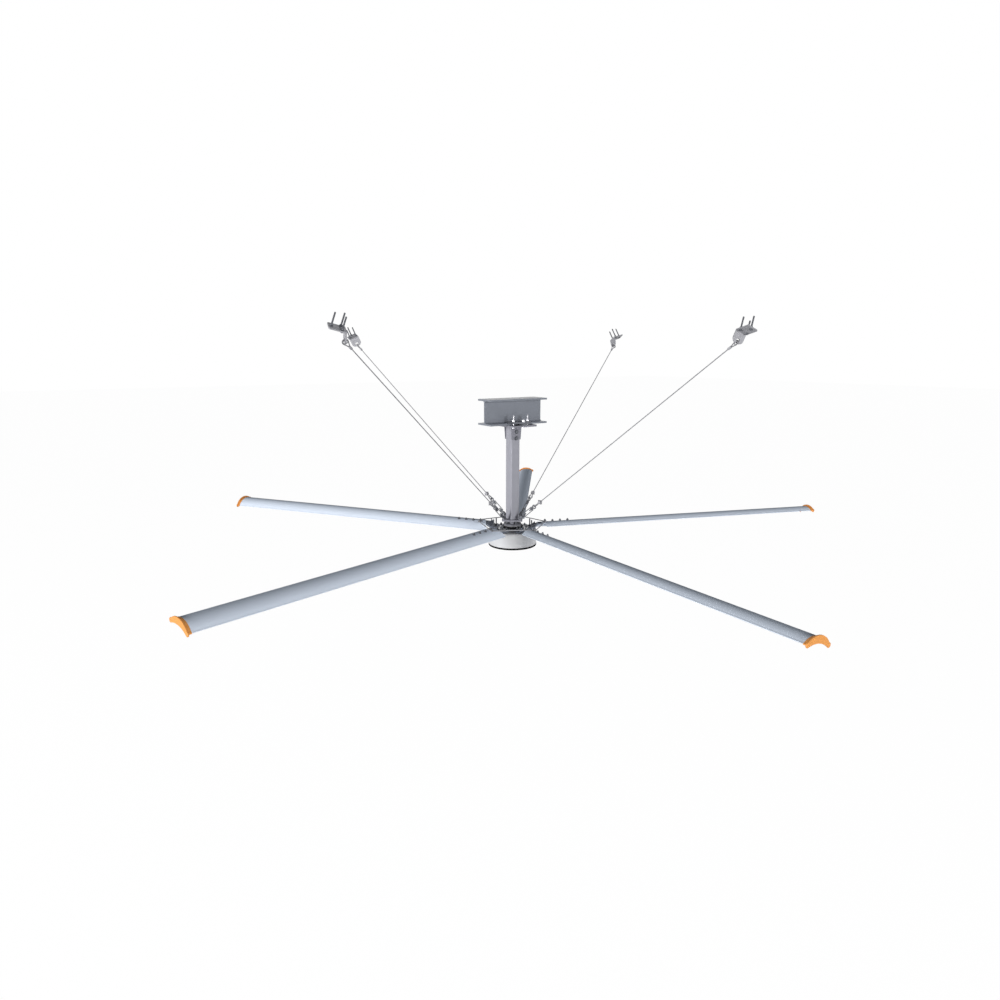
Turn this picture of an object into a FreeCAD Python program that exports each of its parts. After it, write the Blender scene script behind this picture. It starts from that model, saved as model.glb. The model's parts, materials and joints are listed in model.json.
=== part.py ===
import FreeCAD, Part
import math
import os

# Industrial ceiling fan hung from a short steel beam by a square drop tube.
# Frame: origin at the centre of the beam's top face, +Z up, +X along the beam.

V = FreeCAD.Vector

# Driving dimensions, in millimetres and degrees

sweep_radius = 3050.0        # hub axis to the outer face of an end cap
hub_drop = 1147.0            # beam top down to the hub plane
run_gap = 0.05               # radial clearance of a running fit
fit_gap = 0.1                # radial clearance of a bolt or pin in its hole
seat_gap = 0.3               # clearance between a moving part and its neighbour

beam_length = 585.0
beam_width = 200.0
beam_height = 220.0
beam_flange = 15.0
beam_web = 9.0
beam_root_radius = 18.0

hanger_length = 264.0        # bracket plate along the beam
hanger_width = 372.0         # bracket plate across the beam
hanger_plate = 14.0
hanger_corner = 20.0
cheek_thickness = 10.0
cheek_flare = 10.0           # extra half width of a cheek at its top
cheek_length = 120.0
hanger_bolt_first = 52.0     # first bolt below the bracket plate
hanger_bolt_pitch = 55.0
hanger_bolt_size = 18.0
hanger_bolt_tail = 8.0

clamp_stud_size = 14.0
clamp_stud_pitch = 144.0     # along the beam
clamp_stud_edge = 18.0       # from the flange edge out to the stud
clamp_heel_edge = 63.0       # from the flange edge out to the heel bolt
clamp_grip = 40.0            # how far a clamp plate reaches over the flange
clamp_plate = 14.0
clamp_stud_rise = 52.0       # stud above its clamp plate
clamp_heel_rise = 18.0
clamp_margin = 24.0          # plate left round a clamp's studs
clamp_toe_half = 26.0        # half width of a clamp plate at its heel bolt
clamp_pad_half = 22.0        # half length of the packing under the heel
clamp_pad_edge = 34.0        # packing from the flange edge

tube_width = 90.0
tube_wall = 5.0
tube_corner = 9.0
tube_top_gap = 8.0           # tube top below the bracket plate
tube_foot = 82.0             # tube bottom above the hub plane

guy_pin_angle = 8.65         # first guy's lower pin, counter-clockwise from the beam
anchor_angle = 21.5          # first girder clamp, likewise
guy_plate_width = 180.0
guy_plate_corner = 10.0
guy_plate_bore = 20.0
guy_plate_thickness = 12.0
guy_ear_thickness = 10.0
guy_ear_radius = 11.5
guy_pin_radius_place = 100.0
guy_pin_height = 16.5        # pin above the guy plate's top
guy_pin_size = 9.0
anchor_reach = 1896.0        # girder clamp pin from the hub axis
anchor_height = 1605.0       # girder clamp pin above the hub plane

spindle_flange_radius = 75.0
spindle_flange = 12.0
foot_flange_radius = 78.0    # lower flange of the column under the guy plate
foot_flange = 10.0
column_radius = 38.0
spindle_neck_radius = 25.0
spindle_bore_radius = 14.0
spindle_bolt_circle = 58.0
spindle_bolt_size = 14.0
spindle_bolt_count = 4
spindle_bolt_tail = 6.0
lead_exit_drop = 14.0        # the lead leaves the spindle below the drum's top
lead_exit_radius = 8.4

wire_size = 8.0
rod_size = 12.0
jaw_ear = 6.0
jaw_slack = 0.5              # jaw cheek to guy ear, each side
jaw_length = 32.0
jaw_radius = 9.5
jaw_room = 2.0               # jaw clear of the guy ear's round end
pin_head = 4.0
pin_tail = 7.0               # pin beyond what it holds, each end
buckle_start = 42.0          # turnbuckle body from the lower pin
buckle_length = 122.0
buckle_boss_length = 18.0
buckle_boss_radius = 9.5
buckle_rail_radius = 3.5
buckle_rail_offset = 15.5
buckle_thread_reach = 36.0   # rod inside the turnbuckle body
eye_place = 188.0            # upper eye from the lower pin
eye_radius = 15.0            # centre line of the eye's ring
eye_bar_radius = 5.0
thimble_radius = 15.5        # seat of the rope round a thimble
thimble_wall = 3.0
thimble_width = 6.0
rope_leg_gap = 0.4           # between the two legs of a rope eye
loop_gap = 0.6               # thimble clear of the eye's bar along the rope
loop_leg = 22.0              # rope eye from its crown to its grip
grip_length = 26.0
grip_width = 30.0
grip_depth = 22.0
grip_corner = 6.0
grip_bolt_size = 7.0
grip_bolt_edge = 6.5         # U-bolt leg from the grip's side
grip_bolt_tail = 6.0
ferrule_radius = 9.0
ferrule_length = 28.0
ferrule_round = 2.0

girder_yaw = 35.0            # clamp turned clockwise from the rope's heading
girder_lean = 25.0           # clamp tilted sideways
girder_rise = 15.0           # plate's outer end raised
girder_plate_length = 112.0  # outward from the tab
girder_plate_width = 92.0
girder_plate = 9.0
girder_corner = 10.0
girder_plate_rise = 74.0     # plate underside above the rope's seat
girder_tab_round = 34.0      # lower corners of the tab
girder_strip = 12.0          # bar under the tab's slot, which the rope eye goes round
girder_slot_width = 26.0
girder_slot_height = 22.0
girder_eye_back = 4.2        # centre of the rope eye short of the bar's centre
girder_stud_size = 12.0
girder_stud_first = 26.0
girder_stud_pitch = 66.0
girder_stud_side = 31.0
girder_stud_rise = 92.0

drum_radius = 213.5
drum_wall = 8.0
drum_top = -26.0             # from the hub plane
drum_bottom = -142.0
rim_depth = 17.0
rim_proud = 1.5
rim_ledge = 15.0
top_cover = 12.0
boss_radius = 95.0           # bearing housing on the top cover
hub_plate_radius = 140.0     # plate that clamps the struts' feet
hub_plate = 8.0
hub_plate_round = 2.0
hub_plate_gap = 2.0          # bore clear of the bearing's inner ring
cover_edge_round = 8.0
bottom_cover = 10.0
seal_radius = 96.0
seal_height = 12.0
bearing_outer = 45.0
bearing_width = 20.0
bearing_ball_radius = 6.3
bearing_ball_count = 10
bearing_ring_wall = 6.5
cage_half_wall = 1.5
cage_half_height = 4.4
lower_bearing_top = -106.0
cup_wall = 12.0
locknut_radius = 36.0
locknut_height = 11.0
pocket_margin = 4.0          # bottom cover's pocket round the locknut
pocket_floor = 4.0
stator_top = -50.0
stator_height = 50.0
stator_bore = 130.0
stator_yoke = 16.0
stator_radius = 185.5
tooth_count = 18
tooth_width = 24.0
tooth_tip_width = 46.0
tooth_tip = 6.0
coil_thickness = 6.0
coil_gap = 0.6
coil_margin = 3.5            # coil clear of the yoke and the tooth's tip
carrier_sleeve = 15.0
carrier_web = 10.0
carrier_rim = 12.0
iron_overhang = 6.0          # back iron beyond the stator, each end
air_gap = 1.5
magnet_thickness = 8.0
magnet_count = 20
magnet_fill = 0.86
cover_screw_size = 6.0
cover_screw_count = 10

blade_count = 5
blade_first_angle = 52.93
blade_pitch = 12.2
blade_chord = 197.0
blade_camber = 45.0
blade_thickness = 22.0
blade_wall = 3.0
blade_edge_radius = 3.0
blade_drop = 12.0            # chord line below the hub plane
blade_root = 212.0           # inner end of a blade at its lower edge
blade_root_skew = 88.0       # how much further out the root is at its upper edge
blade_bolt_first = 308.0
blade_bolt_pitch = 72.0
blade_bolt_count = 4
blade_bolt_size = 12.0
blade_bolt_tail = 6.0        # thread left above the nut
spot_depth = 0.7
spot_radius = 14.0

tongue_width = 82.0
tongue_thickness = 8.0
tongue_end = 575.0
tongue_gap = 0.6
strut_width = 112.0
strut_base = 10.0
strut_flange = 8.0
strut_foot_lip = 13.0
strut_neck_lip = 26.0
strut_foot_start = 105.0     # inner end of a strut's flat foot
strut_flange_start = 145.0   # where the trough's sides begin
strut_foot_end = 190.0
strut_neck = 226.0           # where the twisted stretch meets the blade's pitch
strut_stud_first = 122.0     # through the hub plate
strut_stud_pitch = 48.0
strut_stud_spread = 60.0
strut_stud_size = 12.0
strut_stud_top = 61.0        # outer studs above the hub plane
strut_stud_tail = 8.0

link_size = 8.0
link_tab_length = 64.0
link_tab_width = 28.0
link_tab = 5.0
link_overlap = 4.0           # rod end inside its tab

cap_plate = 8.0
cap_sleeve = 22.0
cap_wall = 3.0
cap_lip = 14.0
cap_screw_size = 5.0
cap_screw_spread = 90.0
cap_screw_head = 2.5
cap_screw_tail = 3.0
cap_screw_stand = 1.0        # head clear of the sleeve's curve

gland_radius = 13.0
gland_hex = 30.0
gland_bore = 5.85            # radius of the lead's way through the gland
gland_height = 60.0          # centre below the bracket's cheeks
gland_flange = 7.0           # thickness of its outer hexagon
gland_cap_radius = 12.35
gland_cap = 10.0
gland_back_nut = 6.0
gland_tail = 3.0             # thread left inside the back nut

# Places worked out from the driving dimensions

hub_z = -hub_drop
flange_top_z = -beam_height + beam_flange
hanger_top_z = -beam_height
hanger_low_z = hanger_top_z - hanger_plate
tube_top_z = hanger_low_z - tube_top_gap
tube_foot_z = hub_z + tube_foot
gland_z = tube_top_z - cheek_length - gland_height
guy_plate_low_z = tube_foot_z - guy_plate_thickness
guy_pin_z = tube_foot_z + guy_pin_height
drum_top_z = hub_z + drum_top
cover_top_z = drum_top_z + top_cover
boss_top_z = cover_top_z + strut_base
hub_plate_top_z = boss_top_z + hub_plate
spindle_flange_low_z = hub_plate_top_z + seal_height + seat_gap
foot_low_z = spindle_flange_low_z + spindle_flange
foot_top_z = foot_low_z + foot_flange
stator_high_z = hub_z + stator_top
stator_low_z = stator_high_z - stator_height
drum_low_z = hub_z + drum_bottom
drum_bore = drum_radius - drum_wall
upper_bearing_low_z = boss_top_z - bearing_width
lower_bearing_low_z = hub_z + lower_bearing_top - bearing_width
spindle_low_z = lower_bearing_low_z - locknut_height
ball_track = (spindle_neck_radius + bearing_outer) / 2
hanger_bolt_heights = [hanger_low_z - hanger_bolt_first - i * hanger_bolt_pitch for i in range(2)]
clamp_row = beam_width / 2 + clamp_stud_edge
heel_row = beam_width / 2 + clamp_heel_edge
upper_camber = blade_camber
lower_camber = blade_camber - blade_thickness
half_chord = blade_chord / 2 - blade_edge_radius
tongue_low = lower_camber + blade_wall + tongue_gap
tongue_top = tongue_low + tongue_thickness
blade_tip = sweep_radius - cap_plate
blade_bolt_places = [blade_bolt_first + i * blade_bolt_pitch for i in range(blade_bolt_count)]
blade_angles = [blade_first_angle + i * 360.0 / blade_count for i in range(blade_count)]
guy_turns = [i * 90.0 for i in range(4)]
pin_place = V(guy_pin_radius_place * math.cos(math.radians(guy_pin_angle)),
              guy_pin_radius_place * math.sin(math.radians(guy_pin_angle)), guy_pin_z)
anchor_place = V(anchor_reach * math.cos(math.radians(anchor_angle)),
                 anchor_reach * math.sin(math.radians(anchor_angle)), hub_z + anchor_height)
guy_line = anchor_place - pin_place
guy_heading = math.degrees(math.atan2(guy_line.y, guy_line.x))
guy_slope = math.degrees(math.atan2(guy_line.z, math.hypot(guy_line.x, guy_line.y)))
guy_length = guy_line.Length
buckle_end = buckle_start + buckle_length
loop_radius = thimble_radius + wire_size / 2
thimble_hole = thimble_radius - thimble_wall
low_loop = eye_place + eye_radius - eye_bar_radius - loop_gap + thimble_hole
high_loop = guy_length - girder_eye_back
girder_bar = V(math.sin(math.radians(girder_yaw)) * math.cos(math.radians(girder_lean)),
               math.cos(math.radians(girder_yaw)) * math.cos(math.radians(girder_lean)),
               -math.sin(math.radians(girder_lean)))
bar_aside = (girder_bar.x * math.sin(math.radians(guy_slope))
             - girder_bar.z * math.cos(math.radians(guy_slope)))
eye_twist = -math.degrees(math.atan2(bar_aside, girder_bar.y))
grip_low = low_loop + loop_radius + loop_leg
grip_high = grip_low + grip_length
ferrule_high = high_loop - loop_radius - loop_leg
ferrule_low = ferrule_high - ferrule_length
girder_plate_top = girder_plate_rise + girder_plate
girder_stud_points = [(girder_stud_first, -girder_stud_side),
                      (girder_stud_first, girder_stud_side),
                      (girder_stud_first + girder_stud_pitch, 0)]


# Plain solids

def box(x0, x1, y0, y1, z0, z1):
    return Part.makeBox(x1 - x0, y1 - y0, z1 - z0, V(x0, y0, z0))


def rod(radius, low, high, x=0.0, y=0.0):
    return Part.makeCylinder(radius, high - low, V(x, y, low))


def ring(outer, inner, low, high, x=0.0, y=0.0):
    return rod(outer, low, high, x, y).cut(rod(inner, low - 1, high + 1, x, y))


def hexagon(across_flats, low, high, x=0.0, y=0.0):
    corner = across_flats / math.sqrt(3.0)
    points = [V(x + corner * math.cos(math.radians(60 * i)), y + corner * math.sin(math.radians(60 * i)), low)
              for i in range(7)]
    return Part.Face(Part.makePolygon(points)).extrude(V(0, 0, high - low))


def nut_height(size):
    return 0.85 * size


def head_height(size):
    return 0.65 * size


def nut_flats(size):
    return 1.5 * size


def washer_radius(size):
    return 1.05 * size


def washer_height(size):
    return 0.18 * size


def nut(size, low, x=0.0, y=0.0):
    solid = hexagon(nut_flats(size), low, low + nut_height(size), x, y)
    return solid.cut(rod(size / 2 + fit_gap, low - 1, low + size + 1, x, y))


def washer(size, low, x=0.0, y=0.0):
    return ring(washer_radius(size), size / 2 + fit_gap, low, low + washer_height(size), x, y)


def headed_bolt(size, head_low, top, x=0.0, y=0.0):
    head_top = head_low + head_height(size)
    return hexagon(nut_flats(size), head_low, head_top, x, y).fuse(rod(size / 2, head_top, top, x, y))


def prism(points, height):
    return Part.Face(Part.makePolygon(points + [points[0]])).extrude(height)


def upright_edges(solid):
    return [e for e in solid.Edges if abs(e.tangentAt(e.FirstParameter).z) > 0.9]


def rounded_square(side, corner, low, high):
    solid = box(-side / 2, side / 2, -side / 2, side / 2, low, high)
    return solid.makeFillet(corner, upright_edges(solid))


def turned(shape, angle):
    copy = shape.copy()
    copy.rotate(V(0, 0, 0), V(0, 0, 1), angle)
    return copy


def moved(shape, x, y, z):
    copy = shape.copy()
    copy.translate(V(x, y, z))
    return copy


def laid_along_y(shape, x, z):
    copy = shape.copy()
    copy.rotate(V(0, 0, 0), V(1, 0, 0), -90)
    copy.translate(V(x, 0, z))
    return copy


def joined(shapes):
    whole = shapes[0]
    for shape in shapes[1:]:
        whole = whole.fuse(shape)
    return whole.removeSplitter()


def holed(shape, holes):
    for hole in holes:
        shape = shape.cut(hole)
    return shape


os.makedirs("parts", exist_ok=True)


def save(name, shapes):
    group = shapes if isinstance(shapes, list) else [shapes]
    solids = [solid for shape in group for solid in shape.Solids]
    whole = solids[0] if len(solids) == 1 else Part.makeCompound(solids)
    whole.exportStep("parts/" + name + ".step")
    print(name, len(solids), all(s.isValid() for s in solids), round(sum(s.Volume for s in solids)))


# Beam, bracket and its clamps

def mounting_beam():
    half_w, half_web = beam_width / 2, beam_web / 2
    solid = joined([box(-beam_length / 2, beam_length / 2, -half_w, half_w, -beam_flange, 0),
                    box(-beam_length / 2, beam_length / 2, -half_w, half_w, -beam_height, flange_top_z),
                    box(-beam_length / 2, beam_length / 2, -half_web, half_web, flange_top_z, -beam_flange)])
    roots = [e for e in solid.Edges if abs(abs(e.CenterOfMass.y) - half_web) < 0.01
             and abs(e.tangentAt(e.FirstParameter).x) > 0.9
             and min(abs(e.CenterOfMass.z + beam_flange), abs(e.CenterOfMass.z - flange_top_z)) < 0.01]
    return solid.makeFillet(beam_root_radius, roots)


def clamp_points(side):
    row = [(x * clamp_stud_pitch / 2, side * clamp_row) for x in (-1, 1)]
    return row + [(0.0, side * heel_row)]


def clamp_holes(low, high):
    points = clamp_points(1) + clamp_points(-1)
    return [rod(clamp_stud_size / 2 + fit_gap, low - 1, high + 1, x, y) for x, y in points]


def hanger_bracket():
    plate = box(-hanger_length / 2, hanger_length / 2, -hanger_width / 2, hanger_width / 2,
                hanger_low_z, hanger_top_z)
    pieces = [plate.makeFillet(hanger_corner, upright_edges(plate))]
    top_half, low_half = tube_width / 2 + cheek_flare, tube_width / 2
    for side in (-1, 1):
        inner = side * (tube_width / 2 + fit_gap)
        outline = [V(-top_half, inner, hanger_low_z), V(top_half, inner, hanger_low_z),
                   V(low_half, inner, hanger_low_z - cheek_length),
                   V(-low_half, inner, hanger_low_z - cheek_length)]
        pieces.append(prism(outline, V(0, side * cheek_thickness, 0)))
    bolts = [laid_along_y(rod(hanger_bolt_size / 2 + fit_gap, -beam_width, beam_width), 0, z)
             for z in hanger_bolt_heights]
    return holed(joined(pieces), clamp_holes(hanger_low_z, hanger_top_z) + bolts)


def flange_clamp(side):
    reach = side * (beam_width / 2 - clamp_grip)
    shoulder = side * (clamp_row + clamp_margin)
    far = side * (heel_row + clamp_margin)
    pad_inner = side * (beam_width / 2 + clamp_pad_edge)
    half = clamp_stud_pitch / 2 + clamp_margin
    outline = [V(-half, reach, 0), V(half, reach, 0), V(half, shoulder, 0), V(clamp_toe_half, far, 0),
               V(-clamp_toe_half, far, 0), V(-half, shoulder, 0)]
    plate = moved(prism(outline, V(0, 0, clamp_plate)), 0, 0, flange_top_z)
    pad = box(-clamp_pad_half, clamp_pad_half, min(pad_inner, far), max(pad_inner, far),
              hanger_top_z, flange_top_z)
    return holed(joined([plate, pad]), clamp_holes(hanger_low_z, flange_top_z + clamp_plate))


def flange_clamp_bolts():
    size = clamp_stud_size
    top_z = flange_top_z + clamp_plate
    low_seat = hanger_low_z - washer_height(size)
    high_seat = top_z + washer_height(size)
    pieces = []
    for side in (1, -1):
        for x, y in clamp_points(side):
            rise = clamp_heel_rise if abs(x) < 0.01 else clamp_stud_rise
            pieces += [headed_bolt(size, low_seat - head_height(size), high_seat + rise, x, y),
                       washer(size, low_seat, x, y), washer(size, top_z, x, y), nut(size, high_seat, x, y)]
    return pieces


def hanger_bolts():
    size = hanger_bolt_size
    face = tube_width / 2 + fit_gap + cheek_thickness
    head = head_height(size)
    pieces = []
    for z in hanger_bolt_heights:
        seat = face + washer_height(size)
        bolt = headed_bolt(size, -seat - head, seat + nut_height(size) + hanger_bolt_tail)
        group = [bolt, washer(size, -seat), washer(size, face), nut(size, seat)]
        pieces += [laid_along_y(piece, 0, z) for piece in group]
    return pieces


# Drop tube, its foot plate with four guy ears, and the lead's gland

def downtube():
    solid = rounded_square(tube_width, tube_corner, tube_foot_z, tube_top_z)
    bore_side, bore_corner = tube_width - 2 * tube_wall, tube_corner - tube_wall
    inner = rounded_square(bore_side, bore_corner, tube_foot_z - 1, tube_top_z + 1)
    bolts = [laid_along_y(rod(hanger_bolt_size / 2 + fit_gap, -tube_width, tube_width), 0, z)
             for z in hanger_bolt_heights]
    hole = Part.makeCylinder(gland_radius + fit_gap, tube_width, V(0, 0, gland_z), V(1, 0, 0))
    return holed(solid.cut(inner), bolts + [hole])


def cable_gland():
    face = tube_width / 2
    inside = face - tube_wall
    cap_low = face + gland_flange
    body = joined([rod(gland_radius, inside - gland_back_nut - gland_tail, cap_low),
                   hexagon(gland_hex, face, cap_low),
                   rod(gland_cap_radius, cap_low, cap_low + gland_cap)])
    back_nut = hexagon(gland_hex, inside - gland_back_nut, inside).cut(rod(gland_radius + fit_gap, 0, face))
    pieces = []
    for piece in (body.cut(rod(gland_bore, 0, tube_width)), back_nut):
        piece.rotate(V(0, 0, 0), V(0, 1, 0), 90)
        pieces.append(moved(piece, 0, 0, gland_z))
    return pieces


def spindle_bolt_points():
    step = 360.0 / spindle_bolt_count
    return [(spindle_bolt_circle * math.cos(math.radians(i * step)),
             spindle_bolt_circle * math.sin(math.radians(i * step))) for i in range(spindle_bolt_count)]


def spindle_bolt_holes():
    return [rod(spindle_bolt_size / 2 + fit_gap, spindle_flange_low_z - 1, foot_top_z + 1, x, y)
            for x, y in spindle_bolt_points()]


def guy_ear():
    half = guy_ear_thickness / 2
    leg = box(-guy_ear_radius, guy_ear_radius, -half, half, -guy_pin_height, 0)
    return pin_rod(guy_ear_radius, half).fuse(leg).cut(pin_rod(guy_pin_size / 2 + fit_gap, 2 * half))


def guy_plate():
    plate = rounded_square(guy_plate_width, guy_plate_corner, guy_plate_low_z, tube_foot_z)
    pieces = [turned(plate, guy_pin_angle - 45.0)]
    pieces += [placed(guy_ear(), pin_place, turn) for turn in guy_turns]
    pieces.append(rod(column_radius, foot_low_z, guy_plate_low_z))
    pieces.append(rod(foot_flange_radius, foot_low_z, foot_top_z))
    lead_way = rod(guy_plate_bore, foot_low_z - 1, tube_foot_z + 1)
    return holed(joined(pieces), spindle_bolt_holes() + [lead_way])


def spindle():
    solid = joined([rod(spindle_flange_radius, spindle_flange_low_z, foot_low_z),
                    rod(spindle_neck_radius, spindle_low_z, foot_low_z)])
    bore = rod(spindle_bore_radius, spindle_low_z - 1, foot_low_z + 1)
    lead_exit = Part.makeCylinder(lead_exit_radius, 2 * spindle_neck_radius,
                                  V(0, 0, drum_top_z - lead_exit_drop), V(1, 0, 0))
    return holed(solid, [bore, lead_exit] + spindle_bolt_holes())


def spindle_bolts():
    size = spindle_bolt_size
    seat = foot_top_z + washer_height(size)
    top = seat + nut_height(size) + spindle_bolt_tail
    pieces = []
    for x, y in spindle_bolt_points():
        pieces += [rod(size / 2, spindle_flange_low_z, top, x, y), washer(size, foot_top_z, x, y),
                   nut(size, seat, x, y)]
    return pieces


# Motor: fixed stator on the spindle, outer drum that carries the blades

def bearing_groove(low):
    middle = low + bearing_width / 2
    return Part.makeTorus(ball_track, bearing_ball_radius + run_gap, V(0, 0, middle))


def bearing_inner(low):
    wall = spindle_neck_radius + bearing_ring_wall
    return ring(wall, spindle_neck_radius, low, low + bearing_width).cut(bearing_groove(low))


def bearing_outer_ring(low):
    wall = bearing_outer - bearing_ring_wall
    return ring(bearing_outer, wall, low, low + bearing_width).cut(bearing_groove(low))


def ball_set(low):
    middle = low + bearing_width / 2
    places = []
    for i in range(bearing_ball_count):
        turn = 2 * math.pi * i / bearing_ball_count
        places.append(V(ball_track * math.cos(turn), ball_track * math.sin(turn), middle))
    cage = ring(ball_track + cage_half_wall, ball_track - cage_half_wall,
                middle - cage_half_height, middle + cage_half_height)
    cage = holed(cage, [Part.makeSphere(bearing_ball_radius + run_gap, place) for place in places])
    return [Part.makeSphere(bearing_ball_radius, place) for place in places] + [cage]


def stator_core():
    tip_inner = stator_radius - tooth_tip
    half_tip, half_leg = tooth_tip_width / 2, tooth_width / 2
    tip_ring = ring(stator_radius, tip_inner, stator_low_z, stator_high_z)
    tip = tip_ring.common(box(0, 2 * stator_radius, -half_tip, half_tip, stator_low_z, stator_high_z))
    leg = box(stator_bore + stator_yoke / 2, tip_inner + 1, -half_leg, half_leg, stator_low_z, stator_high_z)
    tooth = leg.fuse(tip)
    teeth = [turned(tooth, i * 360.0 / tooth_count) for i in range(tooth_count)]
    yoke = ring(stator_bore + stator_yoke, stator_bore, stator_low_z, stator_high_z)
    return yoke.multiFuse(teeth).removeSplitter()


def stator_windings():
    inner_x, outer_x = stator_bore + stator_yoke + coil_margin, stator_radius - tooth_tip - coil_margin
    half = tooth_width / 2 + coil_gap
    wide = half + coil_thickness
    low, high = stator_low_z - coil_gap, stator_high_z + coil_gap
    coil = box(inner_x, outer_x, -wide, wide, low - coil_thickness, high + coil_thickness)
    coil = coil.cut(box(inner_x - 1, outer_x + 1, -half, half, low, high))
    return [turned(coil, i * 360.0 / tooth_count) for i in range(tooth_count)]


def stator_hub():
    middle = (stator_low_z + stator_high_z) / 2
    sleeve = spindle_neck_radius + carrier_sleeve
    return joined([ring(sleeve, spindle_neck_radius, stator_low_z, stator_high_z),
                   ring(stator_bore, sleeve - 1, middle - carrier_web / 2, middle + carrier_web / 2),
                   ring(stator_bore, stator_bore - carrier_rim, stator_low_z, stator_high_z)])


def spindle_locknut():
    return ring(locknut_radius, spindle_neck_radius, spindle_low_z, lower_bearing_low_z)


def back_iron():
    inner = stator_radius + air_gap + magnet_thickness
    return ring(drum_bore, inner, stator_low_z - iron_overhang, stator_high_z + iron_overhang)


def magnets():
    inner = stator_radius + air_gap
    span = 360.0 / magnet_count * magnet_fill
    outer = inner + magnet_thickness
    outline = Part.makeCylinder(outer, stator_height, V(0, 0, stator_low_z), V(0, 0, 1), span)
    block = outline.cut(rod(inner, stator_low_z - 1, stator_high_z + 1))
    return [turned(block, i * 360.0 / magnet_count) for i in range(magnet_count)]


def strut_stud_points():
    return [(strut_stud_first + i * strut_stud_pitch, side * strut_stud_spread / 2)
            for i in range(2) for side in (-1, 1)]


def strut_stud_holes(low, high):
    return [turned(rod(strut_stud_size / 2 + fit_gap, low - 1, high + 1, x, y), angle)
            for angle in blade_angles for x, y in strut_stud_points()]


def motor_top_cover():
    plate = rod(drum_radius, drum_top_z, cover_top_z)
    rim = [e for e in plate.Edges if e.Closed and abs(e.CenterOfMass.z - cover_top_z) < 0.01]
    plate = plate.makeFillet(cover_edge_round, rim)
    boss = rod(boss_radius, cover_top_z, boss_top_z)
    seat = rod(bearing_outer, drum_top_z - 1, boss_top_z + 1)
    return holed(joined([plate, boss]), [seat] + strut_stud_holes(drum_top_z, cover_top_z))


def motor_hub_plate():
    inner = spindle_neck_radius + bearing_ring_wall + hub_plate_gap
    plate = ring(hub_plate_radius, inner, boss_top_z, hub_plate_top_z)
    rim = [e for e in plate.Edges if e.Closed and e.Curve.Radius > inner + 1]
    return holed(plate.makeFillet(hub_plate_round, rim), strut_stud_holes(boss_top_z, hub_plate_top_z))


def motor_drum():
    return ring(drum_radius, drum_bore, drum_low_z, drum_top_z)


def cover_screw_points():
    place = drum_bore - rim_ledge / 2
    turns = [2 * math.pi * i / cover_screw_count for i in range(cover_screw_count)]
    return [(place * math.cos(turn), place * math.sin(turn)) for turn in turns]


def motor_bottom_cover():
    plate_top = drum_low_z + bottom_cover
    plate = rod(drum_bore, drum_low_z, plate_top)
    cup = ring(bearing_outer + cup_wall, bearing_outer, plate_top - 1, lower_bearing_low_z + bearing_width)
    pocket = rod(locknut_radius + pocket_margin, drum_low_z + pocket_floor, plate_top + 1)
    holes = [rod(cover_screw_size / 2 + fit_gap, drum_low_z - 1, plate_top + 1, x, y)
             for x, y in cover_screw_points()]
    return holed(joined([plate, cup]), [pocket] + holes)


def motor_rim():
    low = drum_low_z - rim_depth
    band = ring(drum_radius + rim_proud, drum_bore - rim_ledge, low, drum_low_z)
    outer = [e for e in band.Edges if e.Closed and abs(e.CenterOfMass.z - low) < 0.01
             and e.Curve.Radius > drum_radius]
    band = band.makeFillet(rim_depth / 3, outer)
    holes = []
    for x, y in cover_screw_points():
        holes += [rod(cover_screw_size / 2 + fit_gap, low - 1, drum_low_z + 1, x, y),
                  rod(cover_screw_size, low - 1, low + cover_screw_size, x, y)]
    return holed(band, holes)


def cover_screws():
    low = drum_low_z - rim_depth + cover_screw_size
    pieces = []
    for x, y in cover_screw_points():
        head = rod(cover_screw_size * 0.9, low - cover_screw_size * 0.8, low, x, y)
        socket = hexagon(cover_screw_size * 0.8, low - cover_screw_size, low - cover_screw_size * 0.35, x, y)
        pieces.append(head.fuse(rod(cover_screw_size / 2, low, drum_low_z + bottom_cover, x, y)).cut(socket))
    return pieces


def shaft_seal():
    top = hub_plate_top_z + seal_height
    band = ring(seal_radius, spindle_neck_radius + seat_gap, hub_plate_top_z, top)
    outer = [e for e in band.Edges if e.Closed and abs(e.CenterOfMass.z - top) < 0.01
             and e.Curve.Radius > spindle_flange_radius]
    return band.makeFillet(seal_height / 3, outer)


# Blades: X runs outward, Y along the chord, Z normal to it, before pitching

def on_blade(shape, angle):
    copy = shape.copy()
    copy.rotate(V(0, 0, 0), V(1, 0, 0), -blade_pitch)
    copy.translate(V(0, 0, hub_z - blade_drop))
    copy.rotate(V(0, 0, 0), V(0, 0, 1), angle)
    return copy


def arc(first, middle, last):
    return Part.Arc(first, middle, last).toShape()


def section(x, grow):
    edge = blade_edge_radius + grow
    top, low = upper_camber + grow, lower_camber - grow
    return Part.Wire([
        arc(V(x, -half_chord, edge), V(x, 0, top), V(x, half_chord, edge)),
        arc(V(x, half_chord, edge), V(x, half_chord + edge, 0), V(x, half_chord, -edge)),
        arc(V(x, half_chord, -edge), V(x, 0, low), V(x, -half_chord, -edge)),
        arc(V(x, -half_chord, -edge), V(x, -half_chord - edge, 0), V(x, -half_chord, edge))])


def arc_height(camber, edge, y):
    rise = camber - edge
    radius = (half_chord ** 2 + rise ** 2) / (2 * rise)
    return camber - radius + math.sqrt(radius ** 2 - y ** 2)


def cell(x, y0, y1):
    across = (y0, (y0 + y1) / 2, y1)
    top = [V(x, y, arc_height(upper_camber, blade_edge_radius, y) - blade_wall) for y in across]
    low = [V(x, y, arc_height(lower_camber, -blade_edge_radius, y) + blade_wall) for y in across]
    return Part.Wire([arc(*top), Part.makeLine(top[2], low[2]), arc(low[2], low[1], low[0]),
                      Part.makeLine(low[0], top[0])])


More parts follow.
